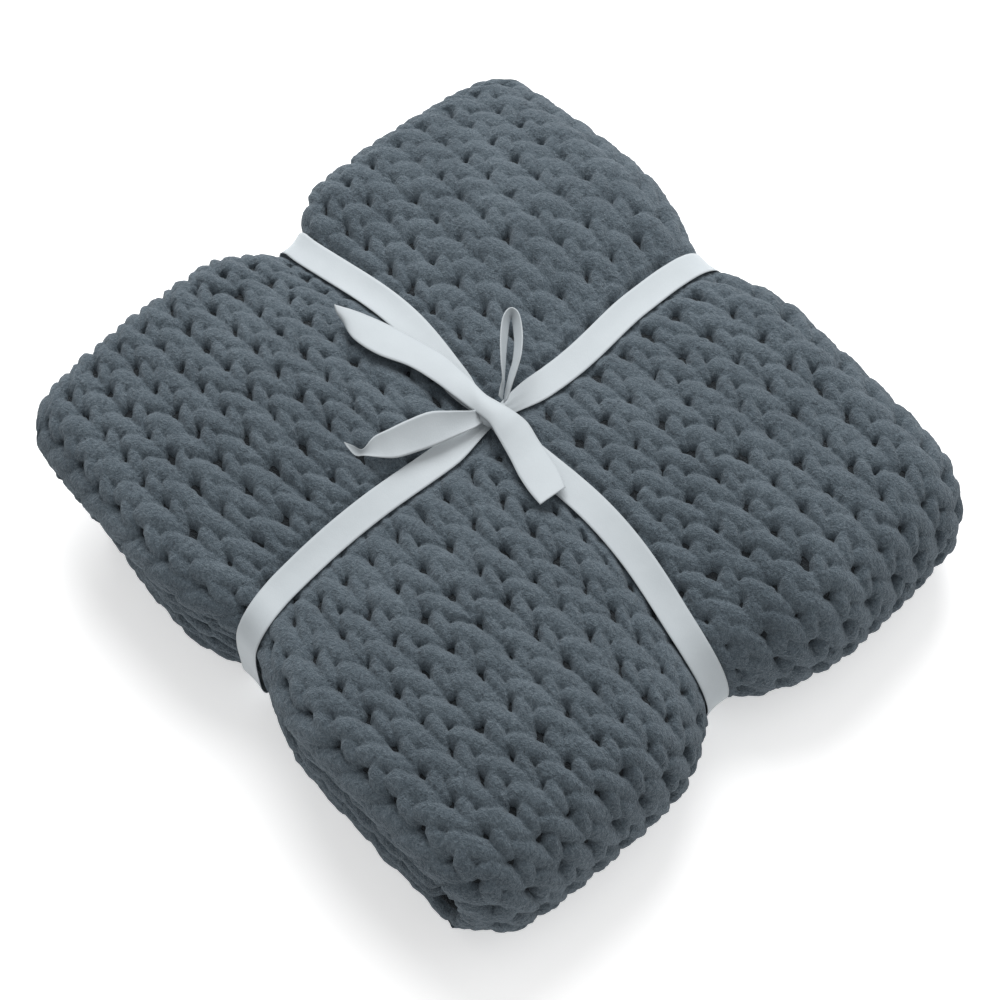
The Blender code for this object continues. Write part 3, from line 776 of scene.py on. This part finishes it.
for face in FACES:
    rows = 1 + round((face.to_length - face.from_length) / face.step_along)
    columns = 1 + round(COLUMNS * COLUMN_WIDTH / face.step_across)
    stations = np.linspace(face.from_length, face.to_length, rows)
    places = np.linspace(SKIN_MARGIN, COLUMNS * COLUMN_WIDTH - SKIN_MARGIN, columns)
    height = np.minimum(skin_height(stations, places), face.most)
    if face.side < 0:
        height = INNER_FOOT - INNER_SHARE * (height - FLOOR)
    points = on_cloth(stations[:, None], places[None, :] / COLUMN_WIDTH, height)
    row_cuts = np.linspace(0, rows - 1, face.cuts + 1).round().astype(int)
    column_cuts = np.linspace(0, columns - 1, face.cuts + 1).round().astype(int)
    for i, j in np.ndindex(face.cuts, face.cuts):
        part = points[row_cuts[i]:row_cuts[i + 1] + 1, column_cuts[j]:column_cuts[j + 1] + 1]
        quarter = ("right", "left")[i], ("near", "far")[j]
        name = face.name if face.cuts == 1 else "_".join((face.name, *quarter))
        triangles = grid_triangles(part.shape[0], part.shape[1])[:, ::face.side]
        make_piece(name, part.reshape(-1, 3), triangles, yarn_material)
        print(name, len(triangles), "triangles")

# %% [markdown]
# The edge stitches are separate fat beads, because they stand free of the face. A bead is a table of
# rings, with soft lumps in waves.

# %% Fat beads of yarn
Ring = namedtuple("Ring", "along across height half_width half_height")


def smooth_rows(rows, count):
    """The number of rows wanted, on a smooth curve through the rows of a table."""
    rows = np.array(rows, float)
    place = np.linspace(0, len(rows) - 1, count)
    first = np.minimum(place.astype(int), len(rows) - 2)
    a, b, c, d = (rows[np.clip(first + k, 0, len(rows) - 1)] for k in (-1, 0, 1, 2))
    t = (place - first)[:, None]
    rise, bend, curl = c - a, 2 * a - 5 * b + 4 * c - d, 3 * b - a - 3 * c + d
    return 0.5 * (2 * b + rise * t + bend * t ** 2 + curl * t ** 3)


Waves = namedtuple("Waves", "round along amount")
LUMPS = (
    Waves(1, 210, 0.035),
    Waves(2, -380, 0.030),
    Waves(2, 620, 0.025),
    Waves(3, -900, 0.022),
    Waves(4, 1150, 0.016),
    Waves(5, -1500, 0.014),
)
JITTER_ALONG = 0.0016
JITTER_ACROSS = 0.0009
JITTER_TURN = 0.055
JITTER_BOW = 0.0009
JITTER_SIZE = 0.06
JITTER_LENGTH = 0.05
SOFT_TOP = 0.0066
SOFT_TOP_SHARE = 0.45
END_BULGE = 0.35


def bead_points(table, starts, columns, spans, rings, sides, rng):
    """The rings and the two end points of one bead at each start, on the tied bundle."""
    rows = smooth_rows(table, rings)
    number = len(starts)

    def spread(amount):
        return amount * rng.uniform(-1, 1, (number, 1))

    stretch = (spans / STITCH_SPAN)[:, None] * (1 + spread(JITTER_LENGTH))
    share = np.linspace(-1, 1, rings)
    along = rows[:, 0] * stretch + spread(JITTER_ALONG)
    across = rows[:, 1] + spread(JITTER_ACROSS) + spread(JITTER_TURN) * (rows[:, 0] - rows[:, 0].mean())
    across = across + spread(JITTER_BOW) * (1 - share ** 2)
    size = 1 + spread(JITTER_SIZE)
    slope = np.gradient(rows[:, :2], axis=0)
    slope /= np.linalg.norm(slope, axis=1, keepdims=True)
    angle = np.linspace(0, 2 * math.pi, sides, endpoint=False)
    lump = np.ones((number, rings, sides))
    for waves in LUMPS:
        start = rng.uniform(0, 2 * math.pi, (number, 1, 1))
        lump += waves.amount * np.sin(waves.round * angle + waves.along * rows[:, 0][None, :, None] + start)
    out = (rows[:, 3] * size)[:, :, None] * lump * np.cos(angle)
    up = (rows[:, 4] * np.sqrt(size))[:, :, None] * lump * np.sin(angle)
    a = along[:, :, None] - out * slope[None, :, 1:]
    c = across[:, :, None] + out * slope[None, :, :1]
    h = rows[:, 2][None, :, None] + up
    h = np.where(h > SOFT_TOP, SOFT_TOP + SOFT_TOP_SHARE * (h - SOFT_TOP), h)
    tips = []
    for ring, beyond in ((0, -1), (-1, 1)):
        reach = beyond * END_BULGE * rows[ring, 3]
        tips.append((along[:, ring] + reach, across[:, ring], np.full(number, rows[ring, 2])))
    a, c, h = (
        np.concatenate([grid.reshape(number, -1), tips[0][k][:, None], tips[1][k][:, None]], axis=1)
        for k, grid in enumerate((a, c, h))
    )
    return on_cloth(starts[:, None] - a, columns[:, None] + c / COLUMN_WIDTH, h)


def bead_triangles(rings, sides):
    body = grid_triangles(rings, sides, wrap_columns=True)
    j = np.arange(sides)
    j2 = (j + 1) % sides
    first, last = rings * sides, rings * sides + 1
    low = np.stack([np.full(sides, first), j2, j], 1)
    high = np.stack([np.full(sides, last), (rings - 1) * sides + j, (rings - 1) * sides + j2], 1)
    return np.concatenate([body, low, high])


def many_beads(table, starts, columns, spans, rings, sides, rng):
    """Points and triangles of every bead."""
    points = bead_points(table, starts, columns, spans, rings, sides, rng)
    offsets = np.arange(len(points))[:, None, None] * points.shape[1]
    triangles = bead_triangles(rings, sides)[None] + offsets
    return points.reshape(-1, 3), triangles.reshape(-1, 3)


# %% [markdown]
# ## The selvedges
# The edge stitches of each layer turn in and make a chain of long smooth beads along both sides.

# %% Selvedge chains
EDGE_BEAD = (
    Ring(-0.0060, -0.0006, 0.0000, 0.0030, 0.0034),
    Ring(-0.0045, -0.0006, 0.0008, 0.0052, 0.0058),
    Ring(-0.0010, -0.0004, 0.0012, 0.0066, 0.0072),
    Ring(0.0040, -0.0002, 0.0010, 0.0072, 0.0074),
    Ring(0.0100, 0.0000, 0.0004, 0.0073, 0.0074),
    Ring(0.0160, 0.0003, -0.0004, 0.0070, 0.0072),
    Ring(0.0220, 0.0006, -0.0010, 0.0064, 0.0066),
    Ring(0.0280, 0.0009, -0.0014, 0.0052, 0.0054),
    Ring(0.0320, 0.0010, -0.0016, 0.0034, 0.0036),
)
EDGE_PLACE = 0.0076 / COLUMN_WIDTH
EDGE_RINGS, EDGE_SIDES = 11, 12
rng = np.random.default_rng(21)
starts = np.tile(row_starts, 2)
spans = np.tile(row_spans, 2)
columns = np.repeat([EDGE_PLACE, COLUMNS - EDGE_PLACE], len(row_starts))
points, triangles = many_beads(EDGE_BEAD, starts, columns, spans, EDGE_RINGS, EDGE_SIDES, rng)
selvedges = make_piece("selvedge_chains", points, triangles, yarn_material)
print("selvedge beads:", len(starts))

# %% [markdown]
# ## The two ends of the cloth
# The cast-on and cast-off ends lie one over the other at the left. Each shows as a row of loops lying
# across, one for each column.

# %% Cast-on and cast-off loops
rng = np.random.default_rng(31)
END_LOOP_RADIUS = 0.0075
END_LOOP_HALF_LENGTH = 0.0135
END_LOOP_SHIFT = 0.0008
END_LOOP_LIFT = 0.0012
END_LOOP_LOWEST = -0.0081
END_LOOP_INSET = 0.28
END_LOOP_SIDES = 10
end_turn = np.linspace(0, 2 * math.pi, END_LOOP_SIDES, endpoint=False)
end_share = np.array([-1.0, -0.9, -0.65, -0.3, 0.05, 0.4, 0.7, 0.92, 1.0])
# A loop is round at its ends, and never quite closed to a point.
end_round = np.sqrt(np.clip(1.02 - end_share ** 2 * 0.95, 0.05, 1))
all_points, all_triangles, used = [], [], 0
for station in (END_LOOP_RADIUS, lengths[-1] - END_LOOP_RADIUS):
    for column in np.arange(COLUMNS) + 0.5:
        shift = rng.uniform(-1, 1, 2) * END_LOOP_SHIFT
        middle = column + (end_share * END_LOOP_HALF_LENGTH + shift[0]) / COLUMN_WIDTH
        middle = np.clip(middle, END_LOOP_INSET, COLUMNS - END_LOOP_INSET)
        lift = END_LOOP_LIFT * end_share
        radius = END_LOOP_RADIUS * end_round
        along = radius[:, None] * np.cos(end_turn)
        height = lift[:, None] + radius[:, None] * np.sin(end_turn)
        places = np.repeat(middle[:, None], END_LOOP_SIDES, axis=1)
        ring = on_cloth(station + along, places, np.clip(height, END_LOOP_LOWEST, HALF_THICKNESS))
        caps = on_cloth(np.full(2, station), middle[[0, -1]], lift[[0, -1]])
        all_points += [ring.reshape(-1, 3), caps]
        all_triangles.append(bead_triangles(len(end_share), END_LOOP_SIDES)[:, ::-1] + used)
        used += ring.size // 3 + 2
end_loops = make_piece("end_loops", np.concatenate(all_points), np.concatenate(all_triangles), yarn_material)
print("end loops:", 2 * COLUMNS)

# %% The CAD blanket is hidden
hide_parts("blanket")

# %% [markdown]
# ## The ribbon
# One length of satin ribbon goes round the bundle both ways and is tied on top. Its two turns follow
# the bundle's outline, worked out in the even bundle and settled with it, so they dip into the same
# grooves. Near the knot the ribbon is gathered.

# %% The outlines of the two turns
RIBBON_WIDTH = 0.020
RIBBON_THICKNESS = 0.0006
RIBBON_GAP = 0.0006
SELVEDGE_INSET = 0.19
SIDE_WALL = 0.2147
SIDE_HEIGHTS = (0.068, 0.045, 0.022)
# The lower corner of a side, as (inwards from the wall, height) and the way out there, as (out, up).
SIDE_CORNER = (0.003, 0.005)
SIDE_CORNER_OUT = (0.8, -0.6)
UNDERSIDE_CORNER = 0.206
TOP_STEPS, UNDERSIDE_STEPS, FOOT_STEPS = 81, 40, 10
OUTLINE_STEPS = 260
SOFTENINGS = 3
CLOTH_CHAMFER = 0.004
FOOT_OUT = 0.0024
FOOT_HEIGHT = 0.012
FOOT_CORNER = 0.0010
FOOT_CORNER_OUT = (-0.7, -0.7)


def evenly(outline, number):
    """The closed outline with evenly spaced, softened points."""
    outline = np.asarray(outline, float)
    closed = np.vstack([outline, outline[:1]])
    run = np.concatenate([[0], np.cumsum(np.linalg.norm(np.diff(closed[:, :2], axis=0), axis=1))])
    at = np.linspace(0, run[-1], number, endpoint=False)
    points = np.stack([np.interp(at, run, column) for column in closed.T], axis=1)
    for _ in range(SOFTENINGS):
        points = (np.roll(points, 1, axis=0) + 2 * points + np.roll(points, -1, axis=0)) / 4
    points[:, 2:] /= np.linalg.norm(points[:, 2:], axis=1, keepdims=True)
    return points


def outline_across():
    """Across the columns, as (y, z, outward y, outward z)."""
    top_layer = LAYERS[1]
    share = (top_layer.x_from - TIE_X) / (top_layer.x_from - top_layer.x_to)
    top = mix(layer_starts[1], layer_ends[1], share)
    across = np.linspace(SELVEDGE_INSET, COLUMNS - SELVEDGE_INSET, TOP_STEPS)
    _, y, z = even_point(top, across, HALF_THICKNESS)
    _, y_out, z_out = even_point(top, across, HALF_THICKNESS + 1)
    outline = list(zip(y, z, y_out - y, z_out - z))
    outline += [(SIDE_WALL, z, 1.0, 0.0) for z in SIDE_HEIGHTS]
    inwards, height = SIDE_CORNER
    out_y, out_z = SIDE_CORNER_OUT
    outline.append((SIDE_WALL - inwards, height, out_y, out_z))
    underside = np.linspace(UNDERSIDE_CORNER, -UNDERSIDE_CORNER, UNDERSIDE_STEPS)
    outline += [(y, 0.0, 0.0, -1.0) for y in underside]
    outline.append((inwards - SIDE_WALL, height, -out_y, out_z))
    outline += [(-SIDE_WALL, z, -1.0, 0.0) for z in reversed(SIDE_HEIGHTS)]
    return evenly(outline, OUTLINE_STEPS)


def outline_along():
    """Along the columns, as (x, z, outward x, outward z)."""
    outline = []
    for x, z, along_x, along_z, *_ in sections[lengths <= left_turn_end]:
        if x < 0 and along_x > 0.5 and z > layer_height(1):
            continue
        outline.append((x + along_z * HALF_THICKNESS, z - along_x * HALF_THICKNESS, along_z, -along_x))
    last_x, last_z = outline[-1][:2]
    first_x = outline[0][0]
    outline[0] = (first_x + CLOTH_CHAMFER, 0.0, 0.0, -1.0)
    foot_x, foot_z = first_x - FOOT_OUT, FOOT_HEIGHT
    lean = Vector((last_x - foot_x, last_z - foot_z)).normalized()
    for share in np.linspace(1 / FOOT_STEPS, 1, FOOT_STEPS):
        outline.append((mix(last_x, foot_x, share), mix(last_z, foot_z, share), -lean.y, lean.x))
    outline.append((first_x - FOOT_CORNER, 0.0, *FOOT_CORNER_OUT))
    return evenly(outline, OUTLINE_STEPS)


# %% A turn of ribbon
ACROSS_STEPS = 13
GATHER_REACH = 0.040
GATHER_SHARE = 0.55
PLEAT = 0.0011
PLEATS = 2.5
CROSSING_LIFT = 0.0010
# Towards the edges of the bundle the ribbon is taut and bridges the notch.
TAUT_SHARE = 0.75
TAUT_FROM = 0.150
TAUT_BLEND = 0.040
LEFT_EASE_FROM = -0.232
LEFT_EASE = 0.010


def strap(outline, across_columns):
    """The points of one turn: for each place round it, the upper side and then the lower side."""
    first, z, out_first, out_z = (column[:, None] for column in outline.T)
    knot_at = TIE_Y if across_columns else TIE_X
    on_top = z > BUNDLE_HEIGHT / 2
    near = ramp(1 - abs(first - knot_at) / GATHER_REACH) * on_top
    width = RIBBON_WIDTH * (1 - GATHER_SHARE * near)
    side = np.linspace(-0.5, 0.5, ACROSS_STEPS)[None, :]
    if across_columns:
        press = press_across(first, z)
    else:
        press = PRESS * ramp((first - LEFT_EASE_FROM) / LEFT_EASE) - CROSSING_LIFT
    pleats = PLEAT * near * (1 - np.cos(2 * math.pi * PLEATS * side)) / 2
    both = []
    for thick in (1, 0):
        lift = RIBBON_GAP + RIBBON_THICKNESS * thick - press + pleats
        if across_columns:
            across = first + out_first * lift
            both.append(settled(tie_x(across) + side * width, across, z + out_z * lift))
        else:
            along = first + out_first * lift
            both.append(settled(along, tie_y(along) + side * width, z + out_z * lift))
    taut = TAUT_SHARE * ramp((abs(first) - TAUT_FROM) / TAUT_BLEND)[:, :, None]
    both = [mix(face, mix(face[:, :1], face[:, -1:], side[:, :, None] + 0.5), taut) for face in both]
    return np.concatenate([both[0], both[1][:, ::-1]], axis=1)


ribbon_parts, turn_lengths = [], []
for across_columns, outline in ((True, outline_across()), (False, outline_along())):
    points = strap(outline, across_columns)
    triangles = grid_triangles(points.shape[0], points.shape[1], wrap_rows=True, wrap_columns=True)
    ribbon_parts.append((points.reshape(-1, 3), triangles[:, ::-1] if across_columns else triangles))
    turn_lengths.append(np.linalg.norm(np.diff(points[:, ACROSS_STEPS // 2], axis=0), axis=1).sum())
print("the two turns of ribbon, in m:", [round(length, 3) for length in turn_lengths])


# %% [markdown]
# ## The bow
# The knot sits where the two turns cross. Out of it come one narrow loop that stands on its edge and
# three free tails. The left and the right tail are one length, which wraps over the knot. Each length
# is a band between two edges: its table gives the two edges side by side, as places from the knot and
# heights over its foot, and how far the band is cupped. Wide apart in the table means that the ribbon
# lies open there, and close together that it is gathered.

# %% A free band of ribbon
Edges = namedtuple("Edges", "x1 y1 z1 x2 y2 z2 cup")
ROWS_PER_STEP = 7
KNOT_FOOT = settled(TIE_X, TIE_Y, BUNDLE_HEIGHT)
FOOT_LEVEL = 0.098


def band(rows):
    """Points and triangles of one closed band."""
    dense = smooth_rows(rows, ROWS_PER_STEP * (len(rows) - 1) + 1)
    first = dense[:, 0:3] + (TIE_X - BOX_MIDDLE_X, TIE_Y - BOX_MIDDLE_Y, FOOT_LEVEL)
    second = dense[:, 3:6] + (TIE_X - BOX_MIDDLE_X, TIE_Y - BOX_MIDDLE_Y, FOOT_LEVEL)
    ahead = np.gradient((first + second) / 2, axis=0)
    ahead /= np.linalg.norm(ahead, axis=1, keepdims=True)
    outward = np.cross(second - first, ahead)
    outward /= np.linalg.norm(outward, axis=1, keepdims=True)
    share = np.linspace(0, 1, ACROSS_STEPS)[None, :, None]
    arch = dense[:, 6][:, None, None] * (1 - (2 * share - 1) ** 2)
    middle = mix(first[:, None], second[:, None], share) + outward[:, None] * arch
    faces = [middle + outward[:, None] * (half * RIBBON_THICKNESS / 2) for half in (1, -1)]
    points = np.concatenate([faces[0], faces[1][:, ::-1]], axis=1)
    return points.reshape(-1, 3), closed_band(len(points), ACROSS_STEPS)


BANDS = {
    "loop": (
        Edges(-0.0042, 0.0101, 0.0115, -0.0025, 0.0115, 0.0065, 0.0000),
        Edges(-0.0073, 0.0145, 0.0153, -0.0060, 0.0156, 0.0093, 0.0000),
        Edges(-0.0091, 0.0177, 0.0197, -0.0083, 0.0185, 0.0127, 0.0000),
        Edges(-0.0165, 0.0233, 0.0247, -0.0146, 0.0250, 0.0167, 0.0000),
        Edges(-0.0271, 0.0325, 0.0272, -0.0241, 0.0351, 0.0192, 0.0000),
        Edges(-0.0357, 0.0416, 0.0286, -0.0325, 0.0445, 0.0206, 0.0000),
        Edges(-0.0392, 0.0483, 0.0298, -0.0355, 0.0483, 0.0218, 0.0000),
        Edges(-0.0385, 0.0529, 0.0300, -0.0369, 0.0510, 0.0220, 0.0000),
        Edges(-0.0337, 0.0538, 0.0297, -0.0346, 0.0497, 0.0217, 0.0000),
        Edges(-0.0269, 0.0504, 0.0284, -0.0307, 0.0470, 0.0204, 0.0000),
        Edges(-0.0184, 0.0436, 0.0272, -0.0223, 0.0402, 0.0192, 0.0000),
        Edges(-0.0107, 0.0352, 0.0258, -0.0146, 0.0317, 0.0178, 0.0000),
        Edges(-0.0061, 0.0276, 0.0227, -0.0100, 0.0241, 0.0147, 0.0000),
        Edges(-0.0026, 0.0207, 0.0189, -0.0058, 0.0179, 0.0119, 0.0000),
        Edges(-0.0002, 0.0157, 0.0145, -0.0026, 0.0136, 0.0085, 0.0000),
        Edges(0.0011, 0.0124, 0.0116, -0.0005, 0.0110, 0.0066, 0.0000),
    ),
    "tails_left_and_right": (
        Edges(-0.1165, -0.0247, 0.0077, -0.1245, -0.0232, 0.0149, -0.0015),
        Edges(-0.1005, -0.0290, 0.0093, -0.1134, -0.0134, 0.0085, -0.0012),
        Edges(-0.0811, -0.0254, 0.0089, -0.0958, -0.0047, 0.0052, -0.0006),
        Edges(-0.0611, -0.0156, 0.0073, -0.0727, 0.0028, 0.0038, -0.0006),
        Edges(-0.0422, -0.0111, 0.0069, -0.0528, 0.0074, 0.0042, -0.0010),
        Edges(-0.0258, -0.0091, 0.0071, -0.0385, 0.0076, 0.0051, -0.0012),
        Edges(-0.0114, -0.0079, 0.0081, -0.0254, 0.0066, 0.0076, -0.0015),
        Edges(-0.0020, -0.0074, 0.0105, -0.0114, 0.0051, 0.0107, -0.0020),
        Edges(0.0066, -0.0076, 0.0120, -0.0007, 0.0068, 0.0122, -0.0022),
        Edges(0.0153, -0.0099, 0.0116, 0.0105, 0.0095, 0.0118, -0.0020),
        Edges(0.0240, -0.0120, 0.0102, 0.0216, 0.0109, 0.0101, -0.0014),
        Edges(0.0340, -0.0148, 0.0094, 0.0350, 0.0079, 0.0089, -0.0010),
        Edges(0.0459, -0.0189, 0.0098, 0.0478, 0.0052, 0.0091, -0.0008),
        Edges(0.0580, -0.0218, 0.0106, 0.0599, 0.0022, 0.0096, -0.0006),
        Edges(0.0700, -0.0235, 0.0121, 0.0713, -0.0032, 0.0104, -0.0004),
    ),
    "tail_near": (
        Edges(-0.0051, 0.0046, 0.0060, -0.0006, -0.0029, 0.0040, 0.0005),
        Edges(-0.0077, -0.0076, 0.0100, 0.0003, -0.0132, 0.0060, 0.0010),
        Edges(-0.0151, -0.0195, 0.0140, -0.0026, -0.0267, 0.0070, 0.0012),
        Edges(-0.0229, -0.0315, 0.0170, -0.0059, -0.0406, 0.0080, 0.0010),
        Edges(-0.0279, -0.0458, 0.0170, -0.0103, -0.0527, 0.0080, 0.0010),
        Edges(-0.0317, -0.0593, 0.0160, -0.0155, -0.0655, 0.0090, 0.0010),
        Edges(-0.0346, -0.0685, 0.0140, -0.0223, -0.0729, 0.0090, 0.0010),
        Edges(-0.0336, -0.0786, 0.0120, -0.0301, -0.0793, 0.0090, 0.0010),
        Edges(-0.0383, -0.0817, 0.0140, -0.0339, -0.0842, 0.0100, 0.0008),
        Edges(-0.0424, -0.0857, 0.0180, -0.0389, -0.0860, 0.0160, 0.0000),
    ),
}
for name, rows in BANDS.items():
    points, triangles = band(rows)
    ribbon_parts.append((points, triangles))

# %% [markdown]
# ### The knot
# Under the band that joins the two tails lies the knot itself, the ribbon wrapped once round the
# crossing and pulled tight: a short, fat wrap with a few folds along it.

# %% Knot
KNOT_LENGTH = 0.018
KNOT_WIDTH = 0.015
KNOT_HEIGHT = 0.011
KNOT_LIFT = 0.0030
KNOT_TURN = math.radians(8)
KNOT_FOLDS, FOLD_DEPTH, FOLD_TWIST = 3, 0.07, 2.5
KNOT_WAIST, WAIST_POWER = 0.18, 4
KNOT_BLUNTNESS = 0.8
KNOT_RINGS, KNOT_SIDES = 25, 32

theta = np.linspace(0, math.pi, KNOT_RINGS + 2)[1:-1][:, None]
phi = np.linspace(0, 2 * math.pi, KNOT_SIDES, endpoint=False)[None, :]
folds = 1 + FOLD_DEPTH * np.sin(KNOT_FOLDS * phi + FOLD_TWIST * theta) * np.sin(theta)
waist = 1 - KNOT_WAIST * np.cos(theta) ** WAIST_POWER
local = np.stack([
    np.cos(theta) * np.ones_like(phi) * KNOT_LENGTH / 2,
    np.sin(theta) ** KNOT_BLUNTNESS * np.cos(phi) * folds * waist * KNOT_WIDTH / 2,
    np.sin(theta) ** KNOT_BLUNTNESS * np.sin(phi) * folds * waist * KNOT_HEIGHT / 2,
], axis=-1).reshape(-1, 3)
local = np.concatenate([local, [[KNOT_LENGTH / 2, 0, 0], [-KNOT_LENGTH / 2, 0, 0]]])
turned = np.stack([
    local[:, 0] * math.cos(KNOT_TURN) - local[:, 1] * math.sin(KNOT_TURN),
    local[:, 0] * math.sin(KNOT_TURN) + local[:, 1] * math.cos(KNOT_TURN),
    local[:, 2],
], axis=1)
knot_middle = KNOT_FOOT + (0, 0, KNOT_LIFT)
ribbon_parts.append((turned + knot_middle, bead_triangles(KNOT_RINGS, KNOT_SIDES)))
print("knot at, in mm:", (1000 * knot_middle).round(1))

# %% One ribbon
points, triangles, used = [], [], 0
for part_points, part_triangles in ribbon_parts:
    points.append(part_points)
    triangles.append(part_triangles + used)
    used += len(part_points)
ribbon = make_piece("ribbon_bow", np.concatenate(points), np.concatenate(triangles), ribbon_material)
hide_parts("ribbon")

# %% [markdown]
# ## Floor and light
# The picture is a cut-out on white under soft, even studio light that comes mostly from above and
# behind. A pale floor, a bright even surround and two big soft lamps give the same.

# %% Floor and light
FLOOR_SIZE = 60.0
FLOOR_LEVEL = -0.0004
FLOOR_SCALE = 3.0
FLOOR_DARK = (0.93, 0.93, 0.93, 1.0)
FLOOR_LIGHT = (0.95, 0.95, 0.95, 1.0)
floor_mesh = bpy.data.meshes.new("floor")
half = FLOOR_SIZE / 2
corners = [(-half, -half, 0), (half, -half, 0), (half, half, 0), (-half, half, 0)]
floor_mesh.from_pydata(corners, [], [(0, 1, 2, 3)])
floor = bpy.data.objects.new("floor", floor_mesh)
bpy.context.scene.collection.objects.link(floor)
floor.location.z = FLOOR_LEVEL
floor_material, floor_place = new_material("pale_floor")
finish_material(floor_place, {
    "Base Color": blend_colours(noise(floor_place, FLOOR_SCALE), FLOOR_DARK, FLOOR_LIGHT),
    "Roughness": 0.9,
    "Specular IOR Level": 0.1,
    "Emission Color": (1.0, 1.0, 1.0, 1.0),
    "Emission Strength": 0.42,
})
floor_mesh.materials.append(floor_material)

world = bpy.data.worlds.new("studio")
bpy.context.scene.world = world
world.use_nodes = True
world.node_tree.nodes["Background"].inputs["Color"].default_value = (1.0, 1.0, 1.0, 1.0)
world.node_tree.nodes["Background"].inputs["Strength"].default_value = 0.48

LAMP_AIM = Vector((0, 0, 0.05))
Lamp = namedtuple("Lamp", "name place size power")
LAMPS = (
    Lamp("key", (-0.90, 0.75, 1.40), 1.5, 35.0),
    Lamp("fill", (0.6, 0.9, 1.5), 1.4, 4.0),
)
for lamp in LAMPS:
    light = bpy.data.lights.new(lamp.name, "AREA")
    light.shape = "DISK"
    light.size = lamp.size
    light.energy = lamp.power
    thing = bpy.data.objects.new(lamp.name, light)
    thing.location = lamp.place
    thing.rotation_euler = (LAMP_AIM - Vector(lamp.place)).to_track_quat("-Z", "Y").to_euler()
    bpy.context.scene.collection.objects.link(thing)
bpy.context.scene.view_settings.view_transform = "Standard"
print("lamps:", [lamp.name for lamp in LAMPS])
